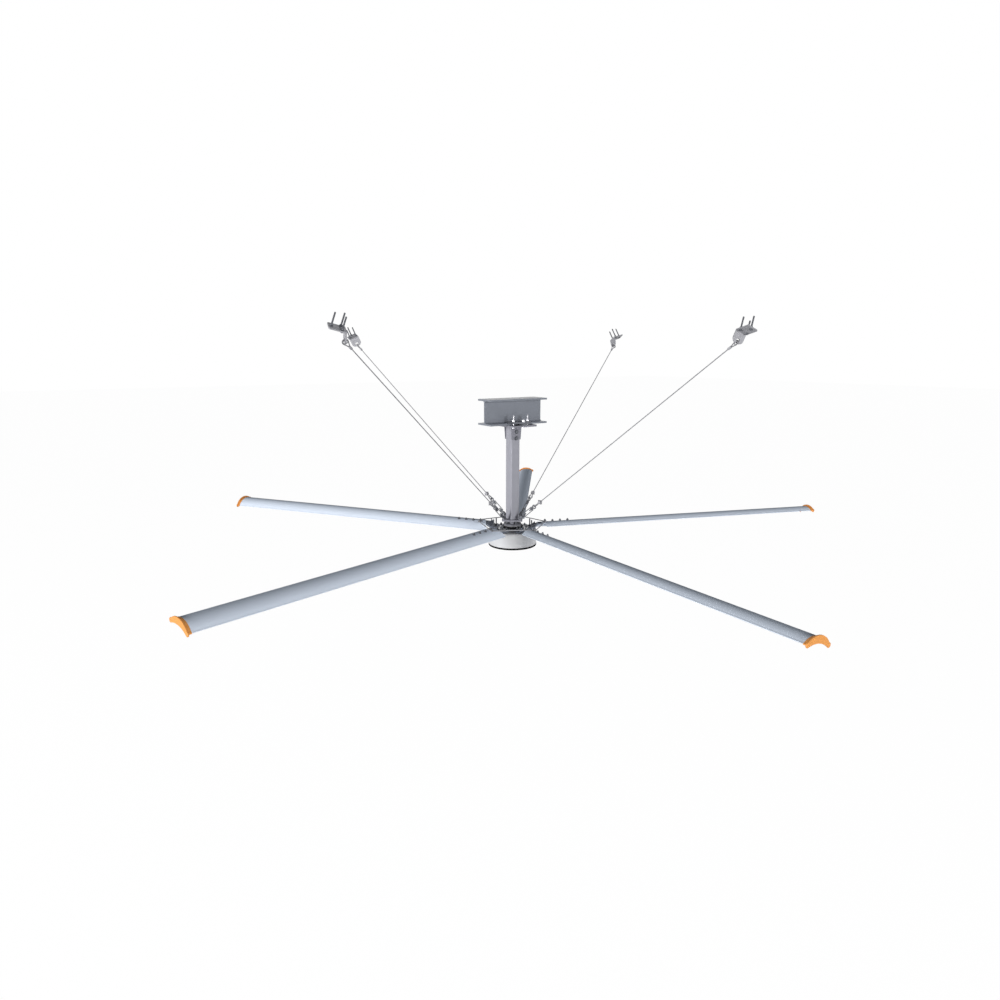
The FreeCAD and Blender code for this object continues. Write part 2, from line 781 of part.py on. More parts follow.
def prism_between(wire_at, start, end):
    return Part.Face(wire_at(start)).extrude(V(end - start, 0, 0))


def blade_bolt_holes(low, high):
    return [rod(blade_bolt_size / 2 + fit_gap, low, high, x) for x in blade_bolt_places]


def blade():
    solid = prism_between(lambda x: section(x, 0.0), blade_root, blade_tip)
    middle = tongue_width / 2 + fit_gap
    side_cell = half_chord - 3 * blade_wall
    for y0, y1 in ((-middle, middle), (middle + blade_wall, side_cell), (-side_cell, -middle - blade_wall)):
        solid = solid.cut(prism_between(lambda x: cell(x, y0, y1), blade_root - 1, blade_tip - blade_wall))
    half, deep = blade_chord / 2, 2 * blade_camber
    skew = [V(blade_root - 1, half + 1, -deep), V(blade_root, half + 1, -deep),
            V(blade_root + blade_root_skew, -half, -deep), V(blade_root + blade_root_skew, -half - 1, -deep),
            V(blade_root - 1, -half - 1, -deep)]
    cuts = [prism(skew, V(0, 0, 2 * deep))] + blade_bolt_holes(-1, blade_camber + 1)
    cuts += [rod(spot_radius, upper_camber - spot_depth, upper_camber + 1, x) for x in blade_bolt_places]
    cuts += [rod(spot_radius, 0, lower_camber + spot_depth, x) for x in blade_bolt_places]
    tab_half, tab_side = link_tab_width / 2 + fit_gap, link_tab_length / 2 + fit_gap
    cuts.append(box(blade_bolt_first - tab_half, blade_bolt_first + tab_half, -tab_side, tab_side,
                    upper_camber - spot_depth, upper_camber + 1))
    return holed(solid, cuts + cap_screw_holes())


def cap_screw_points():
    return [(blade_tip - cap_sleeve / 2, side * cap_screw_spread / 2) for side in (-1, 1)]


def cap_screw_holes():
    radius, top = cap_screw_size / 2 + fit_gap, lower_camber + blade_wall
    return [rod(radius, -1, top, x, y) for x, y in cap_screw_points()]


def end_cap():
    plate = prism_between(lambda x: section(x, cap_lip), blade_tip, sweep_radius)
    sleeve = prism_between(lambda x: section(x, cap_wall + fit_gap), blade_tip - cap_sleeve, blade_tip)
    sleeve = sleeve.cut(prism_between(lambda x: section(x, fit_gap), blade_tip - cap_sleeve - 1, blade_tip))
    return holed(joined([plate, sleeve]), cap_screw_holes())


def cap_screws():
    pieces = []
    for x, y in cap_screw_points():
        seat = arc_height(lower_camber, -blade_edge_radius, y) - cap_wall - 2 * fit_gap - cap_screw_stand
        top = seat + cap_wall + blade_wall + cap_screw_tail
        head = rod(cap_screw_size * 0.9, seat - cap_screw_head, seat, x, y)
        pieces.append(head.fuse(rod(cap_screw_size / 2, seat, top, x, y)))
    return [on_blade(piece, angle) for angle in blade_angles for piece in pieces]


def blade_bolts():
    size = blade_bolt_size
    pieces = []
    for i, x in enumerate(blade_bolt_places):
        low_seat = lower_camber + spot_depth
        high_seat = upper_camber - spot_depth + (link_tab if i == 0 else 0.0)
        nut_low = high_seat + washer_height(size)
        low_washer = low_seat - washer_height(size)
        bolt_top = nut_low + nut_height(size) + blade_bolt_tail
        pieces += [headed_bolt(size, low_washer - head_height(size), bolt_top, x),
                   washer(size, low_washer, x), washer(size, high_seat, x), nut(size, nut_low, x)]
    return [on_blade(piece, angle) for angle in blade_angles for piece in pieces]


# Struts: a flat foot on the motor cover, a twisted trough, and a tongue inside the blade

def trough_points(x, pitch, base_z, lip):
    half, inner = strut_width / 2, strut_width / 2 - strut_flange
    flat = [(-half, 0), (half, 0), (half, lip), (inner, lip),
            (inner, strut_base), (-inner, strut_base), (-inner, lip), (-half, lip)]
    c, s = math.cos(math.radians(pitch)), math.sin(math.radians(pitch))
    points = [V(x, y * c + z * s, base_z + z * c - y * s) for y, z in flat]
    return Part.makePolygon(points + [points[0]])


def blade_strut(angle):
    drop = tongue_low - (strut_base - tongue_thickness)
    neck_z = hub_z - blade_drop + drop * math.cos(math.radians(blade_pitch))
    half = strut_width / 2
    foot = box(strut_foot_start, strut_flange_start, -half, half, cover_top_z, boss_top_z)
    trough = Part.Face(trough_points(strut_flange_start, 0, cover_top_z, strut_foot_lip))
    trough = trough.extrude(V(strut_foot_end - strut_flange_start, 0, 0))
    twist = Part.makeLoft([trough_points(strut_foot_end, 0, cover_top_z, strut_foot_lip),
                           trough_points(strut_neck, blade_pitch, neck_z, strut_neck_lip)], True, True)
    tongue = box(strut_foot_end, tongue_end, -tongue_width / 2, tongue_width / 2, tongue_low, tongue_top)
    tongue = on_blade(holed(tongue, blade_bolt_holes(0, blade_camber)), 0)
    inboard = box(0, strut_neck, -strut_width, strut_width, drum_low_z, tube_foot_z)
    whole = turned(foot.fuse(trough).fuse(twist).fuse(tongue.cut(inboard)), angle)
    return holed(whole.removeSplitter(), strut_stud_holes(cover_top_z, boss_top_z))


def strut_studs():
    size = strut_stud_size
    pieces = []
    for x, y in strut_stud_points():
        outer = x > hub_plate_radius
        seat = boss_top_z if outer else hub_plate_top_z
        nut_low = seat + washer_height(size)
        top = hub_z + strut_stud_top if outer else nut_low + nut_height(size) + strut_stud_tail
        pieces += [rod(size / 2, drum_top_z, top, x, y), washer(size, seat, x, y), nut(size, nut_low, x, y)]
    return [turned(piece, angle) for angle in blade_angles for piece in pieces]


def link_end(side, angle):
    height = upper_camber - spot_depth + link_tab / 2
    point = Part.Vertex(V(blade_bolt_first, side * (link_tab_length / 2 - link_overlap), height))
    return on_blade(point, angle).Point


def safety_ring():
    half_l, half_w = link_tab_length / 2, link_tab_width / 2
    low = upper_camber - spot_depth
    tab = box(blade_bolt_first - half_w, blade_bolt_first + half_w, -half_l, half_l, low, low + link_tab)
    tab = tab.cut(rod(blade_bolt_size / 2 + fit_gap, 0, 2 * low, blade_bolt_first))
    pieces = [on_blade(tab, angle) for angle in blade_angles]
    for i, angle in enumerate(blade_angles):
        start, end = link_end(1, angle), link_end(-1, blade_angles[(i + 1) % blade_count])
        run = end - start
        pieces.append(Part.makeCylinder(link_size / 2, run.Length, start, run))
    return joined(pieces)


# Guys: Z runs up the rope from the lower pin, Y along the pin, X square to both

def placed(shape, place, turn):
    copy = turned(shape, guy_heading)
    copy.translate(place)
    return turned(copy, turn)


def on_guy(shape, turn):
    copy = shape.copy()
    copy.rotate(V(0, 0, 0), V(0, 1, 0), 90.0 - guy_slope)
    return placed(copy, pin_place, turn)


def on_all_guys(pieces):
    return [on_guy(piece, turn) for turn in guy_turns for piece in pieces]


def pin_rod(radius, half_length, z=0.0):
    return Part.makeCylinder(radius, 2 * half_length, V(0, -half_length, z), V(0, 1, 0))


def turnbuckle_jaw():
    inner = guy_ear_thickness / 2 + jaw_slack
    outer = inner + jaw_ear
    half = jaw_radius
    whole = pin_rod(half, outer).fuse(box(-half, half, -outer, outer, 0, jaw_length))
    slot = pin_rod(guy_ear_radius + jaw_room, inner).fuse(
        box(-2 * half, 2 * half, -inner, inner, -2 * half, guy_ear_radius + jaw_room))
    whole = whole.cut(slot).fuse(rod(rod_size / 2, jaw_length - 1, buckle_start + buckle_thread_reach))
    return whole.cut(pin_rod(guy_pin_size / 2 + fit_gap, 2 * outer)).removeSplitter()


def clevis_pin(size, grip_half):
    shank = pin_rod(size / 2, grip_half + pin_tail)
    head = Part.makeCylinder(size * 0.75, pin_head, V(0, grip_half, 0), V(0, 1, 0))
    collar = Part.makeCylinder(size * 0.7, pin_head, V(0, -grip_half - pin_head, 0), V(0, 1, 0))
    return joined([shank, head, collar])


def turnbuckle_body():
    pieces = []
    for side in (-1, 1):
        x = side * buckle_rail_offset
        pieces.append(rod(buckle_rail_radius, buckle_start, buckle_end, x))
    for low in (buckle_start, buckle_end - buckle_boss_length):
        pieces.append(rod(buckle_boss_radius, low, low + buckle_boss_length))
        pieces.append(box(-buckle_rail_offset, buckle_rail_offset, -buckle_rail_radius, buckle_rail_radius,
                          low, low + buckle_boss_length))
    return joined(pieces).cut(rod(rod_size / 2 + run_gap, buckle_start - 1, buckle_end + 1))


def turnbuckle_eye():
    shank = rod(rod_size / 2, buckle_end - buckle_thread_reach, eye_place - eye_radius)
    bow = Part.makeTorus(eye_radius, eye_bar_radius, V(0, 0, eye_place), V(0, 1, 0))
    return joined([shank, bow])


def thimble():
    seat = Part.makeTorus(loop_radius, wire_size / 2 + fit_gap)
    band = ring(thimble_radius + wire_size / 4, thimble_hole, -thimble_width / 2, thimble_width / 2)
    return band.cut(seat)


def rope_loop():
    reach = loop_radius + loop_leg
    foot = (wire_size + rope_leg_gap) / 2
    far = math.hypot(foot, reach)
    turn = math.atan2(foot, reach) + math.acos(loop_radius / far)
    touch_x, touch_y = loop_radius * math.cos(turn), loop_radius * math.sin(turn)
    ends = [V(reach, foot, 0), V(touch_x, touch_y, 0), V(touch_x, -touch_y, 0), V(reach, -foot, 0)]
    path = Part.Wire([Part.makeLine(ends[0], ends[1]), arc(ends[1], V(-loop_radius, 0, 0), ends[2]),
                      Part.makeLine(ends[2], ends[3])])
    start = Part.Wire([Part.makeCircle(wire_size / 2, ends[0], ends[1] - ends[0])])
    loop = path.makePipeShell([start], True, False)
    trim = box(reach, 2 * reach, -reach, reach, -reach, reach)
    return loop.cut(trim)


def loop_at(shape, place, upward, across):
    copy = shape.copy()
    if across:
        copy.rotate(V(0, 0, 0), V(1, 0, 0), 90)
    copy.rotate(V(0, 0, 0), V(0, 1, 0), -90 if upward else 90)
    return moved(copy, 0, 0, place)


def rope_grip():
    block = box(-grip_depth / 2, grip_depth / 2, -grip_width / 2, grip_width / 2, grip_low, grip_high)
    block = block.makeFillet(grip_corner, upright_edges(block))
    middle = (grip_low + grip_high) / 2
    leg_y = grip_width / 2 - grip_bolt_edge
    back, front = -grip_depth / 2, grip_depth / 2
    nut_face = front + nut_height(grip_bolt_size)
    tip = nut_face + grip_bolt_tail
    path = Part.Wire([Part.makeLine(V(tip, leg_y, middle), V(back, leg_y, middle)),
                      arc(V(back, leg_y, middle), V(back - leg_y, 0, middle), V(back, -leg_y, middle)),
                      Part.makeLine(V(back, -leg_y, middle), V(tip, -leg_y, middle))])
    start = Part.Wire([Part.makeCircle(grip_bolt_size / 2, V(tip, leg_y, middle), V(1, 0, 0))])
    pieces = [block, path.makePipeShell([start], True, False)]
    for side in (-1, 1):
        cap = hexagon(nut_flats(grip_bolt_size), front, nut_face)
        cap.rotate(V(0, 0, 0), V(0, 1, 0), 90)
        pieces.append(moved(cap, 0, side * leg_y, middle))
    return joined(pieces)


def guy_wire():
    return rod(wire_size / 2, grip_high, ferrule_low)


def ferrule():
    solid = rod(ferrule_radius, ferrule_low, ferrule_high)
    return solid.makeFillet(ferrule_round, [e for e in solid.Edges if e.Closed])


def twisted(shape):
    copy = shape.copy()
    copy.rotate(V(0, 0, 0), V(0, 0, 1), eye_twist)
    return copy


# Girder clamps: X outward from the hub, Y across, Z up, origin at the bar that holds the rope

def on_anchor(shape, turn):
    return placed(shape, anchor_place, turn)


def leaned(shape):
    copy = shape.copy()
    copy.rotate(V(0, 0, 0), V(1, 0, 0), -girder_lean)
    copy.rotate(V(0, 0, 0), V(0, 0, 1), -girder_yaw)
    return copy


def raised(shape):
    copy = shape.copy()
    copy.rotate(V(0, 0, girder_plate_rise), V(0, 1, 0), -girder_rise)
    return copy


def girder_clamp():
    half = girder_plate_width / 2
    back = girder_plate / 2
    tab = box(-back, back, -half, half, -girder_strip / 2, girder_plate_rise + back)
    lower = [edge for edge in tab.Edges if edge.BoundBox.XLength > back and edge.BoundBox.ZMax < 0]
    slot_half = girder_slot_width / 2
    slot_low = girder_strip / 2
    slot = box(-girder_plate, girder_plate, -slot_half, slot_half, slot_low, slot_low + girder_slot_height)
    plate = box(-back, girder_plate_length, -half, half, girder_plate_rise, girder_plate_top)
    outer = [edge for edge in upright_edges(plate) if edge.BoundBox.XMin > back]
    holes = [rod(girder_stud_size / 2 + fit_gap, girder_plate_rise - 1, girder_plate_top + 1, x, y)
             for x, y in girder_stud_points]
    plate = holed(plate.makeFillet(girder_corner, outer), holes)
    tab = tab.makeFillet(girder_tab_round, lower).cut(slot)
    return leaned(joined([tab, raised(plate)]))


def girder_bolts():
    size = girder_stud_size
    pieces = []
    for x, y in girder_stud_points:
        seat = girder_plate_top + washer_height(size)
        head_low = girder_plate_rise - head_height(size)
        pieces += [headed_bolt(size, head_low, girder_plate_top + girder_stud_rise, x, y),
                   washer(size, girder_plate_top, x, y), nut(size, seat, x, y)]
    return [leaned(raised(piece)) for piece in pieces]


# Everything is written out, one file for each named piece or group

save("mounting_beam", mounting_beam())
save("hanger_bracket", hanger_bracket())
save("flange_clamps", [flange_clamp(1), flange_clamp(-1)])
save("flange_clamp_bolts", flange_clamp_bolts())
save("hanger_bolts", hanger_bolts())
save("downtube", downtube())
save("cable_gland", cable_gland())
save("guy_plate", guy_plate())
save("spindle", spindle())
save("spindle_bolts", spindle_bolts())

bearing_lows = [upper_bearing_low_z, lower_bearing_low_z]
save("bearing_inner_rings", [bearing_inner(low) for low in bearing_lows])
save("bearing_outer_rings", [bearing_outer_ring(low) for low in bearing_lows])
save("bearing_balls", [piece for low in bearing_lows for piece in ball_set(low)])
save("spindle_locknut", spindle_locknut())
save("stator_core", stator_core())
save("stator_windings", stator_windings())
save("stator_hub", stator_hub())
save("back_iron", back_iron())
save("magnets", magnets())
save("motor_top_cover", motor_top_cover())
save("motor_drum", motor_drum())
save("motor_bottom_cover", motor_bottom_cover())
save("motor_rim", motor_rim())
save("motor_hub_plate", motor_hub_plate())
save("shaft_seal", shaft_seal())

whole_blade, whole_cap = blade(), end_cap()
for number, angle in enumerate(blade_angles, 1):
    save("blade_" + str(number), on_blade(whole_blade, angle))
    save("end_cap_" + str(number), on_blade(whole_cap, angle))
save("blade_struts", [blade_strut(angle) for angle in blade_angles])
save("blade_bolts", strut_studs() + blade_bolts())
save("small_screws", cover_screws() + cap_screws())
save("safety_ring", safety_ring())

for number, turn in enumerate(guy_turns, 1):
    save("guy_wire_" + str(number), on_guy(guy_wire(), turn))
    save("turnbuckle_body_" + str(number), on_guy(turnbuckle_body(), turn))
    save("girder_clamp_" + str(number), on_anchor(girder_clamp(), turn))
save("turnbuckle_jaws", on_all_guys([turnbuckle_jaw()]))
lower_pin = clevis_pin(guy_pin_size, guy_ear_thickness / 2 + jaw_slack + jaw_ear)
save("clevis_pins", on_all_guys([lower_pin]))
save("turnbuckle_eyes", on_all_guys([turnbuckle_eye()]))
save("wire_thimbles", on_all_guys([loop_at(thimble(), low_loop, True, False),
                                   twisted(loop_at(thimble(), high_loop, False, True))]))
save("wire_loops", on_all_guys([loop_at(rope_loop(), low_loop, True, False),
                                twisted(loop_at(rope_loop(), high_loop, False, True))]))
save("rope_grips", on_all_guys([rope_grip()]))
save("rope_ferrules", on_all_guys([ferrule()]))
save("girder_bolts", [on_anchor(piece, turn) for turn in guy_turns for piece in girder_bolts()])
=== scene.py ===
import json
import math

import bmesh
import bpy
from mathutils import Matrix, Vector, geometry

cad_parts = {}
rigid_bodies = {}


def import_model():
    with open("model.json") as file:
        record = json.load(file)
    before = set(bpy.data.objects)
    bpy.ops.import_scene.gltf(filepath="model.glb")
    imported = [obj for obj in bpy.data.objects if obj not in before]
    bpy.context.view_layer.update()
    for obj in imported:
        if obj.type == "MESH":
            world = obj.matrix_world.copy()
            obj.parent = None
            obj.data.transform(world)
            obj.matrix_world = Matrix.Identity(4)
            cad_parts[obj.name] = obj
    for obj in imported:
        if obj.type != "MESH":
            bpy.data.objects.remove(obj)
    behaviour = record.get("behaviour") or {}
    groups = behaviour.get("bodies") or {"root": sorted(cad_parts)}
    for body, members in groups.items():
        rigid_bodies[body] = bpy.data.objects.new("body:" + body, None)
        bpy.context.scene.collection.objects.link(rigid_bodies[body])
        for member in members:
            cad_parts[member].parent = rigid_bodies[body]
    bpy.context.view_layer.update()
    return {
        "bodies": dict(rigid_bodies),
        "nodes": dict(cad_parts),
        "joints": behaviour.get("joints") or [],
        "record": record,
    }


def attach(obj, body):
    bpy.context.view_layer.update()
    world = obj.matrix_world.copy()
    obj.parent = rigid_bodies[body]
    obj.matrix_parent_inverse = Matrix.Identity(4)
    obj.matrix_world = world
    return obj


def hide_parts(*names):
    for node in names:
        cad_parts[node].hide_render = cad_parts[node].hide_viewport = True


for leftover in list(bpy.data.objects):
    bpy.data.objects.remove(leftover)
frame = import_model()
nodes = frame["nodes"]
scene = bpy.context.scene
scene.view_settings.view_transform = "Standard"
print("frame loaded:", len(nodes), "nodes")


# small helpers

def addNode(tree, kind, **values):
    node = tree.nodes.new(kind)
    for key, value in values.items():
        setattr(node, key, value)
    return node


def wire(tree, source, target):
    tree.links.new(source, target)


def meshObject(name, mesh):
    made = bpy.data.objects.new(name, mesh)
    scene.collection.objects.link(made)
    return made


def smoothed(mesh, angle=35.0):
    mesh.polygons.foreach_set("use_smooth", [True] * len(mesh.polygons))
    mesh.set_sharp_from_angle(angle=math.radians(angle))
    return mesh


def meshFrom(made, name):
    mesh = bpy.data.meshes.new(name)
    made.to_mesh(mesh)
    made.free()
    return mesh


def joinedMesh(name, parts):
    joined = bmesh.new()
    for part in parts:
        joined.from_mesh(part)
    return meshFrom(joined, name)


def dress(piece, finish, body, slot, *replaced):
    piece.data.materials.clear()
    piece.data.materials.append(finish)
    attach(piece, body)
    if replaced:
        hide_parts(*replaced)
    return piece


# finishes

grainSet = dict(cloudDetail=4.0, grainDetail=3.0, low=0.3, high=0.7, bumpDepth=0.0005)


def finishMaterial(name, look):
    made = bpy.data.materials.new(name)
    made.use_nodes = True
    tree = made.node_tree
    shader = tree.nodes["Principled BSDF"]
    shader.inputs["Metallic"].default_value = look["metallic"]
    shader.inputs["Specular IOR Level"].default_value = look.get("specular", 0.5)
    place = addNode(tree, "ShaderNodeTexCoord")
    mapping = addNode(tree, "ShaderNodeMapping")
    mapping.inputs["Scale"].default_value = look.get("stretch", (1, 1, 1))
    wire(tree, place.outputs[look.get("coords", "Object")], mapping.inputs["Vector"])
    cloud = addNode(tree, "ShaderNodeTexNoise")
    cloud.inputs["Scale"].default_value = look["cloudScale"]
    cloud.inputs["Detail"].default_value = grainSet["cloudDetail"]
    wire(tree, mapping.outputs["Vector"], cloud.inputs["Vector"])
    tint = addNode(tree, "ShaderNodeMix", data_type="RGBA")
    tint.inputs["A"].default_value = (*[c * (1 - look["vary"]) for c in look["color"]], 1)
    tint.inputs["B"].default_value = (*[min(1.0, c * (1 + look["vary"])) for c in look["color"]], 1)
    wire(tree, cloud.outputs["Fac"], tint.inputs["Factor"])
    wire(tree, tint.outputs["Result"], shader.inputs["Base Color"])
    rough = addNode(tree, "ShaderNodeMapRange")
    rough.inputs["From Min"].default_value = grainSet["low"]
    rough.inputs["From Max"].default_value = grainSet["high"]
    rough.inputs["To Min"].default_value = look["rough"] - look["roughVary"]
    rough.inputs["To Max"].default_value = look["rough"] + look["roughVary"]
    grain = addNode(tree, "ShaderNodeTexNoise")
    grain.inputs["Scale"].default_value = look["grainScale"]
    grain.inputs["Detail"].default_value = grainSet["grainDetail"]
    wire(tree, mapping.outputs["Vector"], grain.inputs["Vector"])
    wire(tree, grain.outputs["Fac"], rough.inputs["Value"])
    wire(tree, rough.outputs["Result"], shader.inputs["Roughness"])
    bump = addNode(tree, "ShaderNodeBump")
    bump.inputs["Strength"].default_value = look["bump"]
    bump.inputs["Distance"].default_value = grainSet["bumpDepth"]
    wire(tree, grain.outputs["Fac"], bump.inputs["Height"])
    wire(tree, bump.outputs["Normal"], shader.inputs["Normal"])
    return made


finishLooks = {
    "beamPaint": dict(color=(0.20, 0.215, 0.25), metallic=0.0, specular=0.5, rough=0.3, roughVary=0.07,
                      vary=0.10, cloudScale=9.0, grainScale=240.0, bump=0.12),
    "bracketPaint": dict(color=(0.25, 0.25, 0.285), metallic=0.0, specular=0.12, rough=0.42, roughVary=0.07,
                         vary=0.10, cloudScale=14.0, grainScale=260.0, bump=0.12),
    "tubePaint": dict(color=(0.35, 0.35, 0.39), metallic=0.0, specular=0.12, rough=0.45, roughVary=0.06,
                      vary=0.05, cloudScale=7.0, grainScale=260.0, bump=0.10),
    "zincSteel": dict(color=(0.31, 0.31, 0.33), metallic=0.3, specular=0.2, rough=0.56, roughVary=0.10,
                      vary=0.14, cloudScale=60.0, grainScale=420.0, bump=0.10),
    "brightZinc": dict(color=(0.62, 0.62, 0.65), metallic=0.7, specular=0.3, rough=0.30, roughVary=0.08,
                       vary=0.10, cloudScale=60.0, grainScale=420.0, bump=0.08),
    "darkSteel": dict(color=(0.12, 0.125, 0.14), metallic=0.35, specular=0.2, rough=0.42, roughVary=0.10,
                      vary=0.18, cloudScale=70.0, grainScale=420.0, bump=0.10),
    "strutPaint": dict(color=(0.155, 0.172, 0.21), metallic=0.0, specular=0.1, rough=0.45, roughVary=0.08,
                       vary=0.12, cloudScale=18.0, grainScale=280.0, bump=0.12),
    "ropeSteel": dict(color=(0.26, 0.26, 0.275), metallic=0.3, specular=0.2, rough=0.5, roughVary=0.10,
                      vary=0.20, cloudScale=120.0, grainScale=600.0, bump=0.08),
    "bladeAlloy": dict(color=(0.73, 0.80, 0.91), metallic=0.0, specular=0.0, rough=0.5, roughVary=0.06,
                       vary=0.012, cloudScale=10.0, grainScale=60.0, bump=0.004,
                       stretch=(0.5, 12.0, 1.0), coords="UV"),
    "capPlastic": dict(color=(0.80, 0.34, 0.09), metallic=0.0, specular=0.08, rough=0.42, roughVary=0.06,
                       vary=0.04, cloudScale=25.0, grainScale=520.0, bump=0.14),
    "motorWhite": dict(color=(0.61, 0.61, 0.62), metallic=0.0, specular=0.12, rough=0.40, roughVary=0.06,
                       vary=0.02, cloudScale=8.0, grainScale=320.0, bump=0.10),
    "hubAlloy": dict(color=(0.64, 0.65, 0.67), metallic=0.65, specular=0.15, rough=0.40, roughVary=0.10,
                     vary=0.08, cloudScale=22.0, grainScale=300.0, bump=0.18),
    "blackRubber": dict(color=(0.006, 0.006, 0.007), metallic=0.0, specular=0.05, rough=0.62, roughVary=0.10,
                        vary=0.2, cloudScale=30.0, grainScale=420.0, bump=0.18),
    "coreSteel": dict(color=(0.25, 0.25, 0.27), metallic=0.8, rough=0.45, roughVary=0.10,
                      vary=0.10, cloudScale=40.0, grainScale=300.0, bump=0.25,
                      stretch=(0.02, 0.02, 4.0)),
    "copperWire": dict(color=(0.60, 0.27, 0.12), metallic=0.85, rough=0.36, roughVary=0.08,
                       vary=0.15, cloudScale=40.0, grainScale=220.0, bump=0.5,
                       stretch=(0.05, 0.05, 5.0)),
    "magnetPlate": dict(color=(0.20, 0.20, 0.21), metallic=0.7, rough=0.42, roughVary=0.08,
                        vary=0.1, cloudScale=50.0, grainScale=380.0, bump=0.1),
    "glandPlastic": dict(color=(0.03, 0.03, 0.032), metallic=0.0, rough=0.5, roughVary=0.08,
                         vary=0.2, cloudScale=60.0, grainScale=500.0, bump=0.2),
}
finishes = {name: finishMaterial(name, look) for name, look in finishLooks.items()}
slotFinish = {
    "beam_paint": "beamPaint", "bracket_paint": "bracketPaint", "tube_paint": "tubePaint",
    "zinc_steel": "zincSteel", "dark_steel": "darkSteel", "strut_paint": "strutPaint",
    "rope_steel": "ropeSteel", "blade_alloy": "bladeAlloy", "cap_plastic": "capPlastic",
    "motor_white": "motorWhite", "hub_alloy": "hubAlloy", "black_rubber": "blackRubber",
    "core_steel": "coreSteel", "copper": "copperWire", "magnet": "magnetPlate",
    "gland_plastic": "glandPlastic",
}
for part in frame["record"]["subparts"]:
    skin = nodes[part["node"]].data
    skin.materials.clear()
    skin.materials.append(finishes[slotFinish[part["material_slot"]]])
print("finishes:", len(finishes))


# guy ropes, laid from six strands round a core

ropeSet = dict(count=4, pinReach=0.100, pinAngle=8.65, pinZ=-1.0485, topReach=1.896, topAngle=21.5,
               topZ=0.458, ropeLow=0.2774, ropeHigh=2.2725, controls=(0, 0.33, 0.67, 1), curveSteps=12,
               width=0.008, strands=6, layLength=0.054, stepsPerLay=10, strandSides=6, strandShare=0.99,
               coreSides=8, coreShare=1.1)


def polar(reach, angle, z):
    return Vector((reach * math.cos(math.radians(angle)), reach * math.sin(math.radians(angle)), z))


guyPin = polar(ropeSet["pinReach"], ropeSet["pinAngle"], ropeSet["pinZ"])
guyTop = polar(ropeSet["topReach"], ropeSet["topAngle"], ropeSet["topZ"])
guyLine = guyTop - guyPin
guyHeading = math.atan2(guyLine.y, guyLine.x)
guySlope = math.atan2(guyLine.z, math.hypot(guyLine.x, guyLine.y))


def turnedTo(number, place):
    return (Matrix.Rotation(2 * math.pi * number / ropeSet["count"], 4, "Z") @ Matrix.Translation(place)
            @ Matrix.Rotation(guyHeading, 4, "Z"))


def onGuy(number):
    return turnedTo(number, guyPin) @ Matrix.Rotation(math.pi / 2 - guySlope, 4, "Y")


def splineLine(name, controls, resolution):
    curve = bpy.data.curves.new(name, "CURVE")
    curve.dimensions = "3D"
    curve.resolution_u = resolution
    line = curve.splines.new("NURBS")
    line.points.add(len(controls) - 1)
    for point, spot in zip(line.points, controls):
        point.co = (*spot, 1.0)
    line.order_u = 3
    line.use_endpoint_u = True
    holder = meshObject(name, curve)
    bpy.context.view_layer.update()
    flat = bpy.data.meshes.new_from_object(holder.evaluated_get(bpy.context.evaluated_depsgraph_get()))
    points = [v.co.copy() for v in flat.vertices]
    bpy.data.objects.remove(holder)
    bpy.data.curves.remove(curve)
    bpy.data.meshes.remove(flat)
    return points


def runLengths(points):
    lengths = [0.0]
    for a, b in zip(points, points[1:]):
        lengths.append(lengths[-1] + (b - a).length)
    return lengths


def evenly(points, step):
    lengths = runLengths(points)
    count = max(2, round(lengths[-1] / step))
    spots, reach = [], 0
    for i in range(count + 1):
        goal = lengths[-1] * i / count
        while reach < len(lengths) - 2 and lengths[reach + 1] < goal:
            reach += 1
        span = lengths[reach + 1] - lengths[reach]
        spots.append(points[reach].lerp(points[reach + 1], (goal - lengths[reach]) / span))
    return spots


def framesAlong(centres):
    frames, side = [], None
    for i, centre in enumerate(centres):
        ahead = centres[min(i + 1, len(centres) - 1)] - centres[max(i - 1, 0)]
        ahead.normalize()
        if side is None:
            side = ahead.orthogonal().normalized()
        side = (side - ahead * side.dot(ahead)).normalized()
        frames.append((centre, side, ahead.cross(side)))
    return frames


def around(frame, radius, turn):
    centre, side, up = frame
    return centre + radius * (math.cos(turn) * side + math.sin(turn) * up)


def tube(made, centres, radius, sides):
    turns = [2 * math.pi * k / sides for k in range(sides)]
    rings = [[made.verts.new(around(spot, radius, turn)) for turn in turns] for spot in framesAlong(centres)]
    for low, high in zip(rings, rings[1:]):
        for k in range(sides):
            made.faces.new((low[k], low[(k + 1) % sides], high[(k + 1) % sides], high[k]))
    made.faces.new(list(reversed(rings[0])))
    made.faces.new(rings[-1])


def laidRope(made, points, stepsPerLay):
    strands, layLength = ropeSet["strands"], ropeSet["layLength"]
    strandRadius = ropeSet["width"] / 6  # a core with a strand on either side
    centres = evenly(points, layLength / stepsPerLay)
    spots = list(zip(framesAlong(centres), runLengths(centres)))
    for strand in range(strands):
        line = [around(spot, 2 * strandRadius, 2 * math.pi * (strand / strands + gone / layLength))
                for spot, gone in spots]
        tube(made, line, strandRadius * ropeSet["strandShare"], ropeSet["strandSides"])
    tube(made, centres, strandRadius * ropeSet["coreShare"], ropeSet["coreSides"])


for number in range(ropeSet["count"]):
    place = onGuy(number)
    low, high = ropeSet["ropeLow"], ropeSet["ropeHigh"]
    controls = [place @ Vector((0, 0, low + (high - low) * share)) for share in ropeSet["controls"]]
    route = splineLine("guyRoute", controls, ropeSet["curveSteps"])
    made = bmesh.new()
    laidRope(made, route, ropeSet["stepsPerLay"])
    mesh = meshFrom(made, "guyRope%d" % (number + 1))
    rope = meshObject(mesh.name, smoothed(mesh, angle=60))
    dress(rope, finishes["ropeSteel"], "frame", "rope_steel", "guy_wire_%d" % (number + 1))

